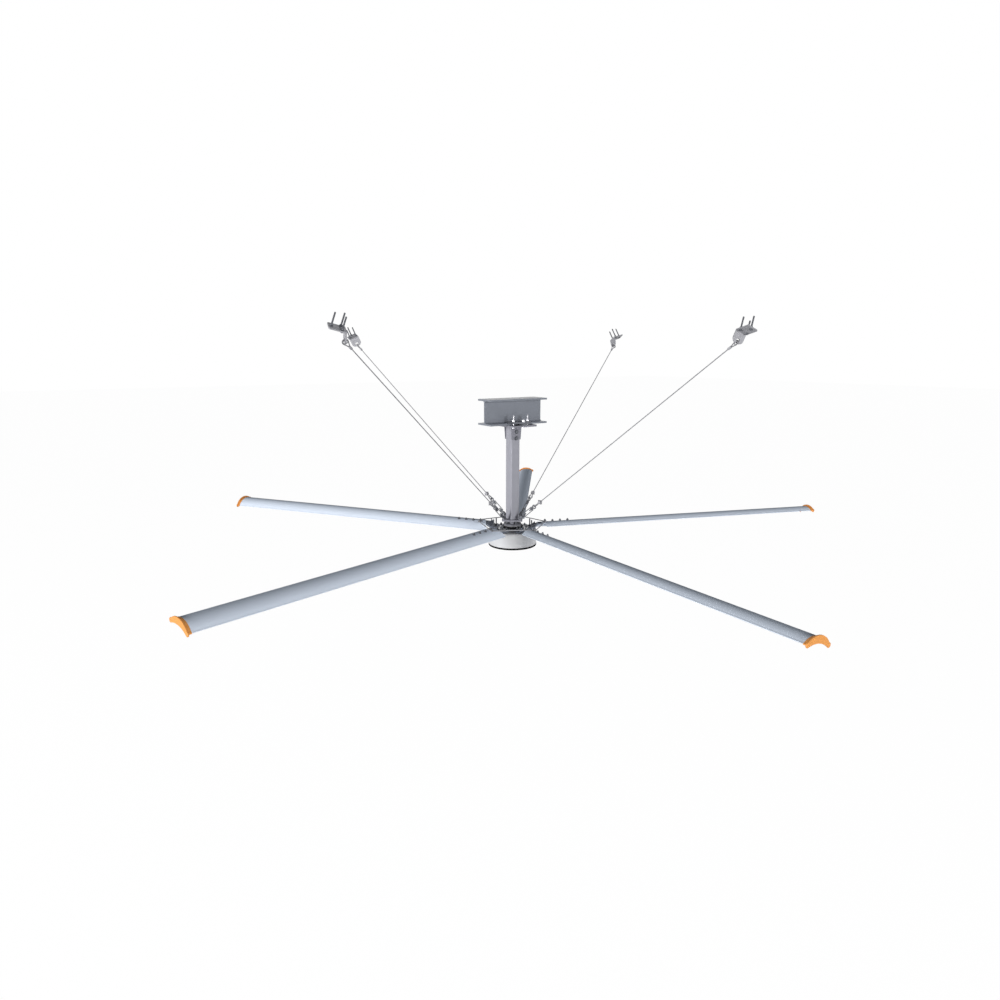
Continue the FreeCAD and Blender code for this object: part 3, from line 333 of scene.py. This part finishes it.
eyeSet = dict(low=0.2099, high=2.342, radius=0.0195, leg=0.022, foot=0.0042, twist=-41.54,
              arcSteps=30, curveSteps=4, stepsPerLay=22)


def eyePath():
    reach = eyeSet["radius"] + eyeSet["leg"]
    far = math.hypot(eyeSet["foot"], reach)
    touch = math.atan2(eyeSet["foot"], reach) + math.acos(eyeSet["radius"] / far)
    steps = eyeSet["arcSteps"]
    turns = [touch + (2 * math.pi - 2 * touch) * k / steps for k in range(steps + 1)]
    bend = [(eyeSet["radius"] * math.cos(turn), eyeSet["radius"] * math.sin(turn)) for turn in turns]
    return [(reach, eyeSet["foot"])] + bend + [(reach, -eyeSet["foot"])]


made = bmesh.new()
for number in range(ropeSet["count"]):
    place = onGuy(number)
    lowEye = [place @ Vector((0, y, eyeSet["low"] + x)) for x, y in eyePath()]
    twist = Matrix.Rotation(math.radians(eyeSet["twist"]), 4, "Z")
    highEye = [place @ twist @ Vector((y, 0, eyeSet["high"] - x)) for x, y in eyePath()]
    for controls in (lowEye, highEye):
        laidRope(made, splineLine("eyeRoute", controls, eyeSet["curveSteps"]), eyeSet["stepsPerLay"])
eyes = meshObject("ropeEyes", smoothed(meshFrom(made, "ropeEyes"), angle=60))
dress(eyes, finishes["ropeSteel"], "frame", "rope_steel", "wire_loops")
print("guy ropes and their eyes laid")


# blades: hollow cambered extrusions with an oblique root

bladeSet = dict(count=5, firstAngle=52.93, hubZ=-1.147, pitch=12.2, drop=0.012, root=0.212, rootSkew=0.088,
                tip=3.042, chord=0.197, camber=0.045, depth=0.022, wall=0.003, edge=0.003, middleCell=0.0411,
                sideWalls=3, arcSteps=26, noseSteps=6, lengthSteps=24, cellSteps=8)


def onSpoke(number):
    angle = bladeSet["firstAngle"] + 360.0 * number / bladeSet["count"]
    return Matrix.Rotation(math.radians(angle), 4, "Z")


def onBlade(number):
    return (onSpoke(number) @ Matrix.Translation((0, 0, bladeSet["hubZ"] - bladeSet["drop"]))
            @ Matrix.Rotation(-math.radians(bladeSet["pitch"]), 4, "X"))


def arcHeight(camber, edge, y):
    half = bladeSet["chord"] / 2 - bladeSet["edge"]
    rise = camber - edge
    radius = (half ** 2 + rise ** 2) / (2 * rise)
    return camber - radius + math.sqrt(radius ** 2 - y ** 2)


def upperAt(y, grow=0.0):
    return arcHeight(bladeSet["camber"] + grow, bladeSet["edge"] + grow, y)


def lowerAt(y, grow=0.0):
    return arcHeight(bladeSet["camber"] - bladeSet["depth"] - grow, -bladeSet["edge"] - grow, y)


def bladeOutline(grow=0.0):
    half, edge = bladeSet["chord"] / 2 - bladeSet["edge"], bladeSet["edge"] + grow
    across = [-half + 2 * half * i / bladeSet["arcSteps"] for i in range(bladeSet["arcSteps"] + 1)]
    nose = [math.pi * (0.5 - i / bladeSet["noseSteps"]) for i in range(1, bladeSet["noseSteps"])]
    return ([(y, upperAt(y, grow)) for y in across]
            + [(half + edge * math.cos(turn), edge * math.sin(turn)) for turn in nose]
            + [(y, lowerAt(y, grow)) for y in reversed(across)]
            + [(-half - edge * math.cos(turn), edge * math.sin(-turn)) for turn in nose])


def cellOutline(start, end):
    across = [start + (end - start) * i / bladeSet["cellSteps"] for i in range(bladeSet["cellSteps"] + 1)]
    return ([(y, upperAt(y) - bladeSet["wall"]) for y in across]
            + [(y, lowerAt(y) + bladeSet["wall"]) for y in reversed(across)])


def rootAt(y):
    return bladeSet["root"] + (0.5 - y / bladeSet["chord"]) * bladeSet["rootSkew"]


def bridged(made, rings):
    for low, high in zip(rings, rings[1:]):
        for k in range(len(low)):
            made.faces.new((low[k], low[k - 1], high[k - 1], high[k]))


def bladeMesh(name):
    made = bmesh.new()
    steps, tip = bladeSet["lengthSteps"], bladeSet["tip"]
    outline = bladeOutline()
    rings = [[made.verts.new((rootAt(y) + (tip - rootAt(y)) * i / steps, y, z)) for y, z in outline]
             for i in range(steps + 1)]
    bridged(made, rings)
    made.faces.new(rings[-1])
    middle, wall = bladeSet["middleCell"], bladeSet["wall"]
    side = bladeSet["chord"] / 2 - bladeSet["edge"] - bladeSet["sideWalls"] * wall
    ends = list(rings[0])
    loops = [[Vector((y, z, 0)) for y, z in outline]]
    for start, end in ((-middle, middle), (middle + wall, side), (-side, -middle - wall)):
        cell = cellOutline(start, end)
        mouth = [made.verts.new((rootAt(y), y, z)) for y, z in cell]
        back = [made.verts.new((tip - wall, y, z)) for y, z in cell]
        bridged(made, [back, mouth])
        made.faces.new(back)
        ends += mouth
        loops.append([Vector((y, z, 0)) for y, z in cell])
    for corners in geometry.tessellate_polygon(loops):
        made.faces.new([ends[k] for k in corners])
    bmesh.ops.recalc_face_normals(made, faces=made.faces)
    spread = made.loops.layers.uv.new("lengthAndRound")
    for face in made.faces:
        for corner in face.loops:
            spot = corner.vert.co
            corner[spread].uv = (spot.x, spot.y + (0.5 if face.normal.z < 0 else 0.0))
    return smoothed(meshFrom(made, name), angle=40)


for number in range(bladeSet["count"]):
    mesh = bladeMesh("bladeSkin%d" % (number + 1))
    mesh.transform(onBlade(number))
    blade = meshObject(mesh.name, mesh)
    dress(blade, finishes["bladeAlloy"], "rotor", "blade_alloy", "blade_%d" % (number + 1))
print("blades made")


# moulded end caps: a sleeve, a groove and a rounded plate

# each point of the profile is a place past the blade's tip and a distance outside its skin
capSet = dict(profile=((-0.022, 0.0004), (-0.022, 0.0026), (-0.0215, 0.0031), (-0.0045, 0.0031),
                       (-0.0041, 0.0017), (-0.0006, 0.0017), (-0.0002, 0.0130), (0.0008, 0.0140),
                       (0.0056, 0.0140), (0.0070, 0.0134), (0.0077, 0.0120), (0.0080, 0.0098)))


def capMesh(name):
    made = bmesh.new()
    rings = [[made.verts.new((bladeSet["tip"] + along, y, z)) for y, z in bladeOutline(grow)]
             for along, grow in capSet["profile"]]
    bridged(made, rings)
    made.faces.new(rings[-1])
    bmesh.ops.recalc_face_normals(made, faces=made.faces)
    return smoothed(meshFrom(made, name), angle=40)


for number in range(bladeSet["count"]):
    mesh = capMesh("tipCap%d" % (number + 1))
    mesh.transform(onBlade(number))
    cap = meshObject(mesh.name, mesh)
    dress(cap, finishes["capPlastic"], "rotor", "cap_plastic", "end_cap_%d" % (number + 1))
print("end caps made")


# fasteners: one node tree puts a bolt or stud with its washers and nut on every marked point

boltLengths = ("Size", "Rod Low", "Rod High", "Thread Low", "Nut Low", "Upper Washer Low", "Lower Washer Low",
               "Head Low")
boltChoices = ("With Head", "With Lower Washer")
boltInputs = ([(name, "NodeSocketFloat") for name in boltLengths]
              + [(name, "NodeSocketBool") for name in boltChoices]
              + [("Seed", "NodeSocketInt"), ("Finish", "NodeSocketMaterial")])
boltShape = dict(nutHeight=0.85, headHeight=0.65, flats=1.5, washerRadius=1.05, washerHeight=0.18,
                 threadPitch=0.145, threadDepth=0.075, core=0.43, chamfer=0.10, chamferShare=0.9,
                 spiralSteps=14, ridgeSides=3, rodSides=20, washerSides=28)  # heights are shares of the size


def boltTree():
    tree = bpy.data.node_groups.new("boltOnPoints", "GeometryNodeTree")
    tree.interface.new_socket("Points", in_out="INPUT", socket_type="NodeSocketGeometry")
    for name, kind in boltInputs:
        tree.interface.new_socket(name, in_out="INPUT", socket_type=kind)
    tree.interface.new_socket("Bolts", in_out="OUTPUT", socket_type="NodeSocketGeometry")
    given = addNode(tree, "NodeGroupInput").outputs
    size = given["Size"]

    def feed(target, source):
        if isinstance(source, bpy.types.NodeSocket):
            wire(tree, source, target)
        else:
            target.default_value = source

    def figure(operation, first, second):
        node = addNode(tree, "ShaderNodeMath", operation=operation)
        feed(node.inputs[0], first)
        feed(node.inputs[1], second)
        return node.outputs[0]

    def scaled(share):
        return figure("MULTIPLY", size, share)

    def lifted(shape, height):
        spot = addNode(tree, "ShaderNodeCombineXYZ")
        feed(spot.inputs["Z"], height)
        move = addNode(tree, "GeometryNodeTransform")
        wire(tree, shape, move.inputs["Geometry"])
        wire(tree, spot.outputs[0], move.inputs["Translation"])
        return move.outputs[0]

    def cone(sides, lowRadius, highRadius, low, height):
        node = addNode(tree, "GeometryNodeMeshCone")
        node.inputs["Vertices"].default_value = sides
        feed(node.inputs["Radius Bottom"], lowRadius)
        feed(node.inputs["Radius Top"], highRadius)
        feed(node.inputs["Depth"], height)
        return lifted(node.outputs["Mesh"], low)

    def hexagon(low, heightShare):
        radius = scaled(boltShape["flats"] / math.sqrt(3.0))
        narrow = scaled(boltShape["flats"] / math.sqrt(3.0) * boltShape["chamferShare"])
        edge = scaled(boltShape["chamfer"])
        straight = scaled(heightShare - 2 * boltShape["chamfer"])
        high = figure("ADD", low, scaled(heightShare))
        return [cone(6, narrow, radius, low, edge),
                cone(6, radius, radius, figure("ADD", low, edge), straight),
                cone(6, radius, narrow, figure("SUBTRACT", high, edge), edge)]

    def washer(low):
        sides = boltShape["washerSides"]
        radius = scaled(boltShape["washerRadius"])
        edge = scaled(boltShape["washerHeight"] / 3)
        straight = scaled(boltShape["washerHeight"] * 2 / 3)
        narrow = figure("SUBTRACT", radius, edge)
        return [cone(sides, radius, radius, low, straight),
                cone(sides, radius, narrow, figure("ADD", low, straight), edge)]

    def together(shapes):
        node = addNode(tree, "GeometryNodeJoinGeometry")
        for shape in reversed(shapes):
            wire(tree, shape, node.inputs[0])
        return node.outputs[0]

    def only(wanted, shapes):
        node = addNode(tree, "GeometryNodeSwitch", input_type="GEOMETRY")
        wire(tree, wanted, node.inputs["Switch"])
        wire(tree, together(shapes), node.inputs["True"])
        return node.outputs[0]

    sides = boltShape["rodSides"]
    core = scaled(boltShape["core"])
    point = scaled(boltShape["core"] - boltShape["chamfer"] / 2)
    tip = scaled(boltShape["chamfer"])
    rodEnd = figure("SUBTRACT", given["Rod High"], tip)
    shapes = [cone(sides, core, core, given["Rod Low"], figure("SUBTRACT", rodEnd, given["Rod Low"])),
              cone(sides, core, point, rodEnd, tip)]
    run = figure("SUBTRACT", rodEnd, given["Thread Low"])
    spiral = addNode(tree, "GeometryNodeCurveSpiral")
    spiral.inputs["Resolution"].default_value = boltShape["spiralSteps"]
    feed(spiral.inputs["Rotations"], figure("DIVIDE", run, scaled(boltShape["threadPitch"])))
    feed(spiral.inputs["Start Radius"], core)
    feed(spiral.inputs["End Radius"], core)
    feed(spiral.inputs["Height"], run)
    ridge = addNode(tree, "GeometryNodeCurvePrimitiveCircle")
    ridge.inputs["Resolution"].default_value = boltShape["ridgeSides"]
    feed(ridge.inputs["Radius"], scaled(boltShape["threadDepth"]))
    thread = addNode(tree, "GeometryNodeCurveToMesh")
    wire(tree, spiral.outputs[0], thread.inputs["Curve"])
    wire(tree, ridge.outputs[0], thread.inputs["Profile Curve"])
    thread.inputs["Fill Caps"].default_value = True
    shapes.append(lifted(thread.outputs[0], given["Thread Low"]))
    shapes += hexagon(given["Nut Low"], boltShape["nutHeight"]) + washer(given["Upper Washer Low"])
    shapes.append(only(given["With Head"], hexagon(given["Head Low"], boltShape["headHeight"])))
    shapes.append(only(given["With Lower Washer"], washer(given["Lower Washer Low"])))
    aim = addNode(tree, "GeometryNodeInputNamedAttribute", data_type="FLOAT_VECTOR")
    aim.inputs["Name"].default_value = "aim"
    stand = addNode(tree, "FunctionNodeAlignRotationToVector", axis="Z")
    wire(tree, aim.outputs["Attribute"], stand.inputs["Vector"])
    chance = addNode(tree, "FunctionNodeRandomValue", data_type="FLOAT")
    chance.inputs["Max"].default_value = math.pi / 3
    wire(tree, given["Seed"], chance.inputs["Seed"])
    twist = addNode(tree, "FunctionNodeAxisAngleToRotation")
    twist.inputs["Axis"].default_value = (0, 0, 1)
    wire(tree, chance.outputs["Value"], twist.inputs["Angle"])
    spin = addNode(tree, "FunctionNodeRotateRotation", rotation_space="LOCAL")
    wire(tree, stand.outputs[0], spin.inputs["Rotation"])
    wire(tree, twist.outputs[0], spin.inputs["Rotate By"])
    copies = addNode(tree, "GeometryNodeInstanceOnPoints")
    wire(tree, given["Points"], copies.inputs["Points"])
    wire(tree, together(shapes), copies.inputs["Instance"])
    wire(tree, spin.outputs[0], copies.inputs["Rotation"])
    real = addNode(tree, "GeometryNodeRealizeInstances")
    wire(tree, copies.outputs[0], real.inputs["Geometry"])
    coat = addNode(tree, "GeometryNodeSetMaterial")
    wire(tree, real.outputs[0], coat.inputs["Geometry"])
    wire(tree, given["Finish"], coat.inputs["Material"])
    wire(tree, coat.outputs[0], addNode(tree, "NodeGroupOutput").inputs["Bolts"])
    return tree


boltMaker = boltTree()
boltKeys = {item.name: item.identifier for item in boltMaker.interface.items_tree if item.in_out == "INPUT"}


def boltRow(spots, finish, seed, size, rodLow, rodHigh, upperSeat, headSeat=None, lowerWasher=False):
    mesh = bpy.data.meshes.new("boltSpots")
    mesh.from_pydata([spot for spot, aim in spots], [], [])
    mark = mesh.attributes.new("aim", "FLOAT_VECTOR", "POINT")
    for item, (spot, aim) in zip(mark.data, spots):
        item.vector = aim
    holder = meshObject("boltSpots", mesh)
    thick = boltShape["washerHeight"] * size
    nutLow = upperSeat + thick
    washerLow = 0.0 if headSeat is None else headSeat - thick
    headLow = 0.0
    if headSeat is not None:
        headLow = (washerLow if lowerWasher else headSeat) - boltShape["headHeight"] * size
    values = {"Size": size, "Rod Low": rodLow, "Rod High": rodHigh, "Thread Low": nutLow, "Nut Low": nutLow,
              "Upper Washer Low": upperSeat, "Lower Washer Low": washerLow, "Head Low": headLow,
              "With Head": headSeat is not None, "With Lower Washer": lowerWasher,
              "Seed": seed, "Finish": finish}
    maker = holder.modifiers.new("boltOnPoints", "NODES")
    maker.node_group = boltMaker
    for name, value in values.items():
        maker[boltKeys[name]] = value
    bpy.context.view_layer.update()
    flat = bpy.data.meshes.new_from_object(holder.evaluated_get(bpy.context.evaluated_depsgraph_get()))
    holder.modifiers.remove(maker)
    bpy.data.objects.remove(holder)
    bpy.data.meshes.remove(mesh)
    return flat


def boltPiece(name, rows, finish, body, slot, node):
    mesh = joinedMesh(name, rows)
    for row in rows:
        bpy.data.meshes.remove(row)
    dress(meshObject(name, smoothed(mesh, 32)), finish, body, slot, node)


def placedSpots(place, points):
    aim = place.to_3x3() @ Vector((0, 0, 1))
    return [(place @ Vector(point), aim) for point in points]


def nutStack(size):
    return (boltShape["washerHeight"] + boltShape["nutHeight"]) * size


up = Vector((0, 0, 1))
bothSides = (-1, 1)
zinc, dark = finishes["brightZinc"], finishes["darkSteel"]

clampSet = dict(size=0.014, seed=3, lowSeat=-0.234, topSeat=-0.191, stud=(0.072, 0.118), studRise=0.052,
                heel=0.163, heelRise=0.018)
gripLength = clampSet["topSeat"] - clampSet["lowSeat"]
clampTop = gripLength + boltShape["washerHeight"] * clampSet["size"]
studSpots = [(Vector((x * clampSet["stud"][0], y * clampSet["stud"][1], clampSet["lowSeat"])), up)
             for x in bothSides for y in bothSides]
heelSpots = [(Vector((0, y * clampSet["heel"], clampSet["lowSeat"])), up) for y in bothSides]
clampRows = [boltRow(spots, zinc, clampSet["seed"], clampSet["size"], rodLow=0.0, rodHigh=clampTop + rise,
                     upperSeat=gripLength, headSeat=0.0, lowerWasher=True)
             for spots, rise in ((studSpots, clampSet["studRise"]), (heelSpots, clampSet["heelRise"]))]
boltPiece("clampBolts", clampRows, zinc, "frame", "zinc_steel", "flange_clamp_bolts")

hangerSet = dict(size=0.018, seed=5, face=0.0551, heights=(-0.286, -0.341), tail=0.008)
hangerFace = hangerSet["face"]
hangerSpots = [(Vector((0, 0, z)), Vector((0, 1, 0))) for z in hangerSet["heights"]]
hangerRow = boltRow(hangerSpots, dark, hangerSet["seed"], hangerSet["size"], rodLow=-hangerFace,
                    rodHigh=hangerFace + nutStack(hangerSet["size"]) + hangerSet["tail"],
                    upperSeat=hangerFace, headSeat=-hangerFace, lowerWasher=True)
boltPiece("hangerBolts", [hangerRow], dark, "frame", "dark_steel", "hanger_bolts")

spindleSet = dict(size=0.014, seed=7, count=4, circle=0.058, seat=-1.1087, below=0.022, above=0.02042)
spindleSpots = [(polar(spindleSet["circle"], 360 * k / spindleSet["count"], spindleSet["seat"]), up)
                for k in range(spindleSet["count"])]
spindleRow = boltRow(spindleSpots, dark, spindleSet["seed"], spindleSet["size"], rodLow=-spindleSet["below"],
                     rodHigh=spindleSet["above"], upperSeat=0.0)
boltPiece("spindleBolts", [spindleRow], dark, "frame", "dark_steel", "spindle_bolts")

girderSet = dict(size=0.012, seed=11, yaw=35.0, lean=25.0, pitch=15.0, rise=0.074,
                 points=((0.026, -0.031), (0.026, 0.031), (0.092, 0.0)), grip=0.009, above=0.101)
girderSpots = []
for number in range(ropeSet["count"]):
    place = (turnedTo(number, guyTop) @ Matrix.Rotation(-math.radians(girderSet["yaw"]), 4, "Z")
             @ Matrix.Rotation(-math.radians(girderSet["lean"]), 4, "X")
             @ Matrix.Translation((0, 0, girderSet["rise"]))
             @ Matrix.Rotation(-math.radians(girderSet["pitch"]), 4, "Y"))
    girderSpots += placedSpots(place, [(x, y, 0) for x, y in girderSet["points"]])
girderRow = boltRow(girderSpots, dark, girderSet["seed"], girderSet["size"], rodLow=0.0,
                    rodHigh=girderSet["above"], upperSeat=girderSet["grip"], headSeat=0.0)
boltPiece("girderBolts", [girderRow], dark, "frame", "dark_steel", "girder_bolts")

# each blade has four bolts, the first through the safety ring's tab, and each strut foot four studs
bladeBoltSet = dict(size=0.012, seed=13, places=(0.308, 0.380, 0.452, 0.524), lowSeat=0.0237, highSeat=0.0443,
                    tab=0.005, tail=0.006)
footStudSet = dict(size=0.012, innerSeed=17, outerSeed=19, inner=0.122, outer=0.170, side=0.030, low=-1.173,
                   innerSeat=-1.143, outerSeat=-1.151, innerTail=0.008, outerTop=-1.086)
tabSpots, plainSpots, innerSpots, outerSpots = [], [], [], []
for number in range(bladeSet["count"]):
    spots = placedSpots(onBlade(number), [(x, 0, bladeBoltSet["lowSeat"]) for x in bladeBoltSet["places"]])
    tabSpots += spots[:1]
    plainSpots += spots[1:]
    spoke = onSpoke(number)
    across = [side * footStudSet["side"] for side in bothSides]
    innerSpots += placedSpots(spoke, [(footStudSet["inner"], y, footStudSet["innerSeat"]) for y in across])
    outerSpots += placedSpots(spoke, [(footStudSet["outer"], y, footStudSet["outerSeat"]) for y in across])
gripDepth = bladeBoltSet["highSeat"] - bladeBoltSet["lowSeat"]
boltEnd = gripDepth + nutStack(bladeBoltSet["size"]) + bladeBoltSet["tail"]
rotorRows = [boltRow(spots, dark, bladeBoltSet["seed"], bladeBoltSet["size"], rodLow=0.0,
                     rodHigh=boltEnd + more, upperSeat=gripDepth + more, headSeat=0.0, lowerWasher=True)
             for spots, more in ((tabSpots, bladeBoltSet["tab"]), (plainSpots, 0.0))]
rotorRows.append(boltRow(innerSpots, dark, footStudSet["innerSeed"], footStudSet["size"],
                         rodLow=footStudSet["low"] - footStudSet["innerSeat"],
                         rodHigh=nutStack(footStudSet["size"]) + footStudSet["innerTail"], upperSeat=0.0))
rotorRows.append(boltRow(outerSpots, dark, footStudSet["outerSeed"], footStudSet["size"],
                         rodLow=footStudSet["low"] - footStudSet["outerSeat"],
                         rodHigh=footStudSet["outerTop"] - footStudSet["outerSeat"], upperSeat=0.0))
boltPiece("rotorBolts", rotorRows, dark, "rotor", "dark_steel", "blade_bolts")
print("fasteners placed")


# camera, light and floor

cameraSet = dict(place=(-3.4447, -5.1067, 0.3933), azimuth=57.04, elevation=-11.855, lens=25.4, sensor=36.0,
                 sight=200.0)
eye = bpy.data.cameras.new("viewCamera")
eye.lens = cameraSet["lens"]
eye.sensor_width = cameraSet["sensor"]
eye.clip_end = cameraSet["sight"]
camera = bpy.data.objects.new("viewCamera", eye)
scene.collection.objects.link(camera)
camera.location = cameraSet["place"]
camera.rotation_euler = (math.radians(90 + cameraSet["elevation"]), 0,
                         math.radians(cameraSet["azimuth"] - 90))
scene.camera = camera

studioSet = dict(ambient=0.10, airColor=(0.86, 0.93, 1.0), floorZ=-5.2, floorSize=240.0, floorShade=0.05,
                 floorGlow=1.03, floorColor=(0.82, 0.82, 0.82), floorRough=0.9)


def seenDirectly(tree):
    path = addNode(tree, "ShaderNodeLightPath")
    first = addNode(tree, "ShaderNodeMath", operation="MAXIMUM")
    second = addNode(tree, "ShaderNodeMath", operation="MAXIMUM")
    wire(tree, path.outputs["Is Camera Ray"], first.inputs[0])
    wire(tree, path.outputs["Is Glossy Ray"], first.inputs[1])
    wire(tree, first.outputs[0], second.inputs[0])
    wire(tree, path.outputs["Is Transmission Ray"], second.inputs[1])
    return second.outputs[0]


world = bpy.data.worlds.new("paleStudio")
scene.world = world
world.use_nodes = True
air = world.node_tree
soft = air.nodes["Background"]
soft.inputs["Color"].default_value = (*studioSet["airColor"], 1)
soft.inputs["Strength"].default_value = studioSet["ambient"]
white = addNode(air, "ShaderNodeBackground")
white.inputs["Color"].default_value = (1, 1, 1, 1)
white.inputs["Strength"].default_value = 1.0
choice = addNode(air, "ShaderNodeMixShader")
wire(air, seenDirectly(air), choice.inputs[0])
wire(air, soft.outputs[0], choice.inputs[1])
wire(air, white.outputs[0], choice.inputs[2])
wire(air, choice.outputs[0], air.nodes["World Output"].inputs["Surface"])

floorMesh = bpy.data.meshes.new("paleFloor")
half = studioSet["floorSize"] / 2
corners = [(x * half, y * half, studioSet["floorZ"]) for x, y in ((-1, -1), (1, -1), (1, 1), (-1, 1))]
floorMesh.from_pydata(corners, [], [(0, 1, 2, 3)])
floor = meshObject("paleFloor", floorMesh)
floorFinish = bpy.data.materials.new("paleFloor")
floorFinish.use_nodes = True
ground = floorFinish.node_tree
matte = ground.nodes["Principled BSDF"]
matte.inputs["Base Color"].default_value = (*studioSet["floorColor"], 1)
matte.inputs["Roughness"].default_value = studioSet["floorRough"]
glow = addNode(ground, "ShaderNodeEmission")
glow.inputs["Strength"].default_value = studioSet["floorGlow"]
share = addNode(ground, "ShaderNodeMath", operation="MULTIPLY")
share.inputs[1].default_value = 1.0 - studioSet["floorShade"]
blend = addNode(ground, "ShaderNodeMixShader")
wire(ground, seenDirectly(ground), share.inputs[0])
wire(ground, share.outputs[0], blend.inputs[0])
wire(ground, matte.outputs[0], blend.inputs[1])
wire(ground, glow.outputs[0], blend.inputs[2])
wire(ground, blend.outputs[0], ground.nodes["Material Output"].inputs["Surface"])
floorMesh.materials.append(floorFinish)

lamps = {
    "keyLamp": dict(azimuth=178.0, elevation=5.5, reach=28.0, size=9.0, power=6700.0),
    "fillLamp": dict(azimuth=272.0, elevation=6.0, reach=28.0, size=9.0, power=4900.0),
}
for name, lamp in lamps.items():
    light = bpy.data.lights.new(name, "AREA")
    light.size = lamp["size"]
    light.energy = lamp["power"]
    holder = bpy.data.objects.new(name, light)
    scene.collection.objects.link(holder)
    lift = math.radians(lamp["elevation"])
    hub = Vector((0, 0, bladeSet["hubZ"]))
    away = polar(lamp["reach"] * math.cos(lift), lamp["azimuth"], lamp["reach"] * math.sin(lift))
    holder.location = hub + away
    holder.rotation_euler = (-away).to_track_quat("-Z", "Y").to_euler()
print("camera, lamps and floor set")
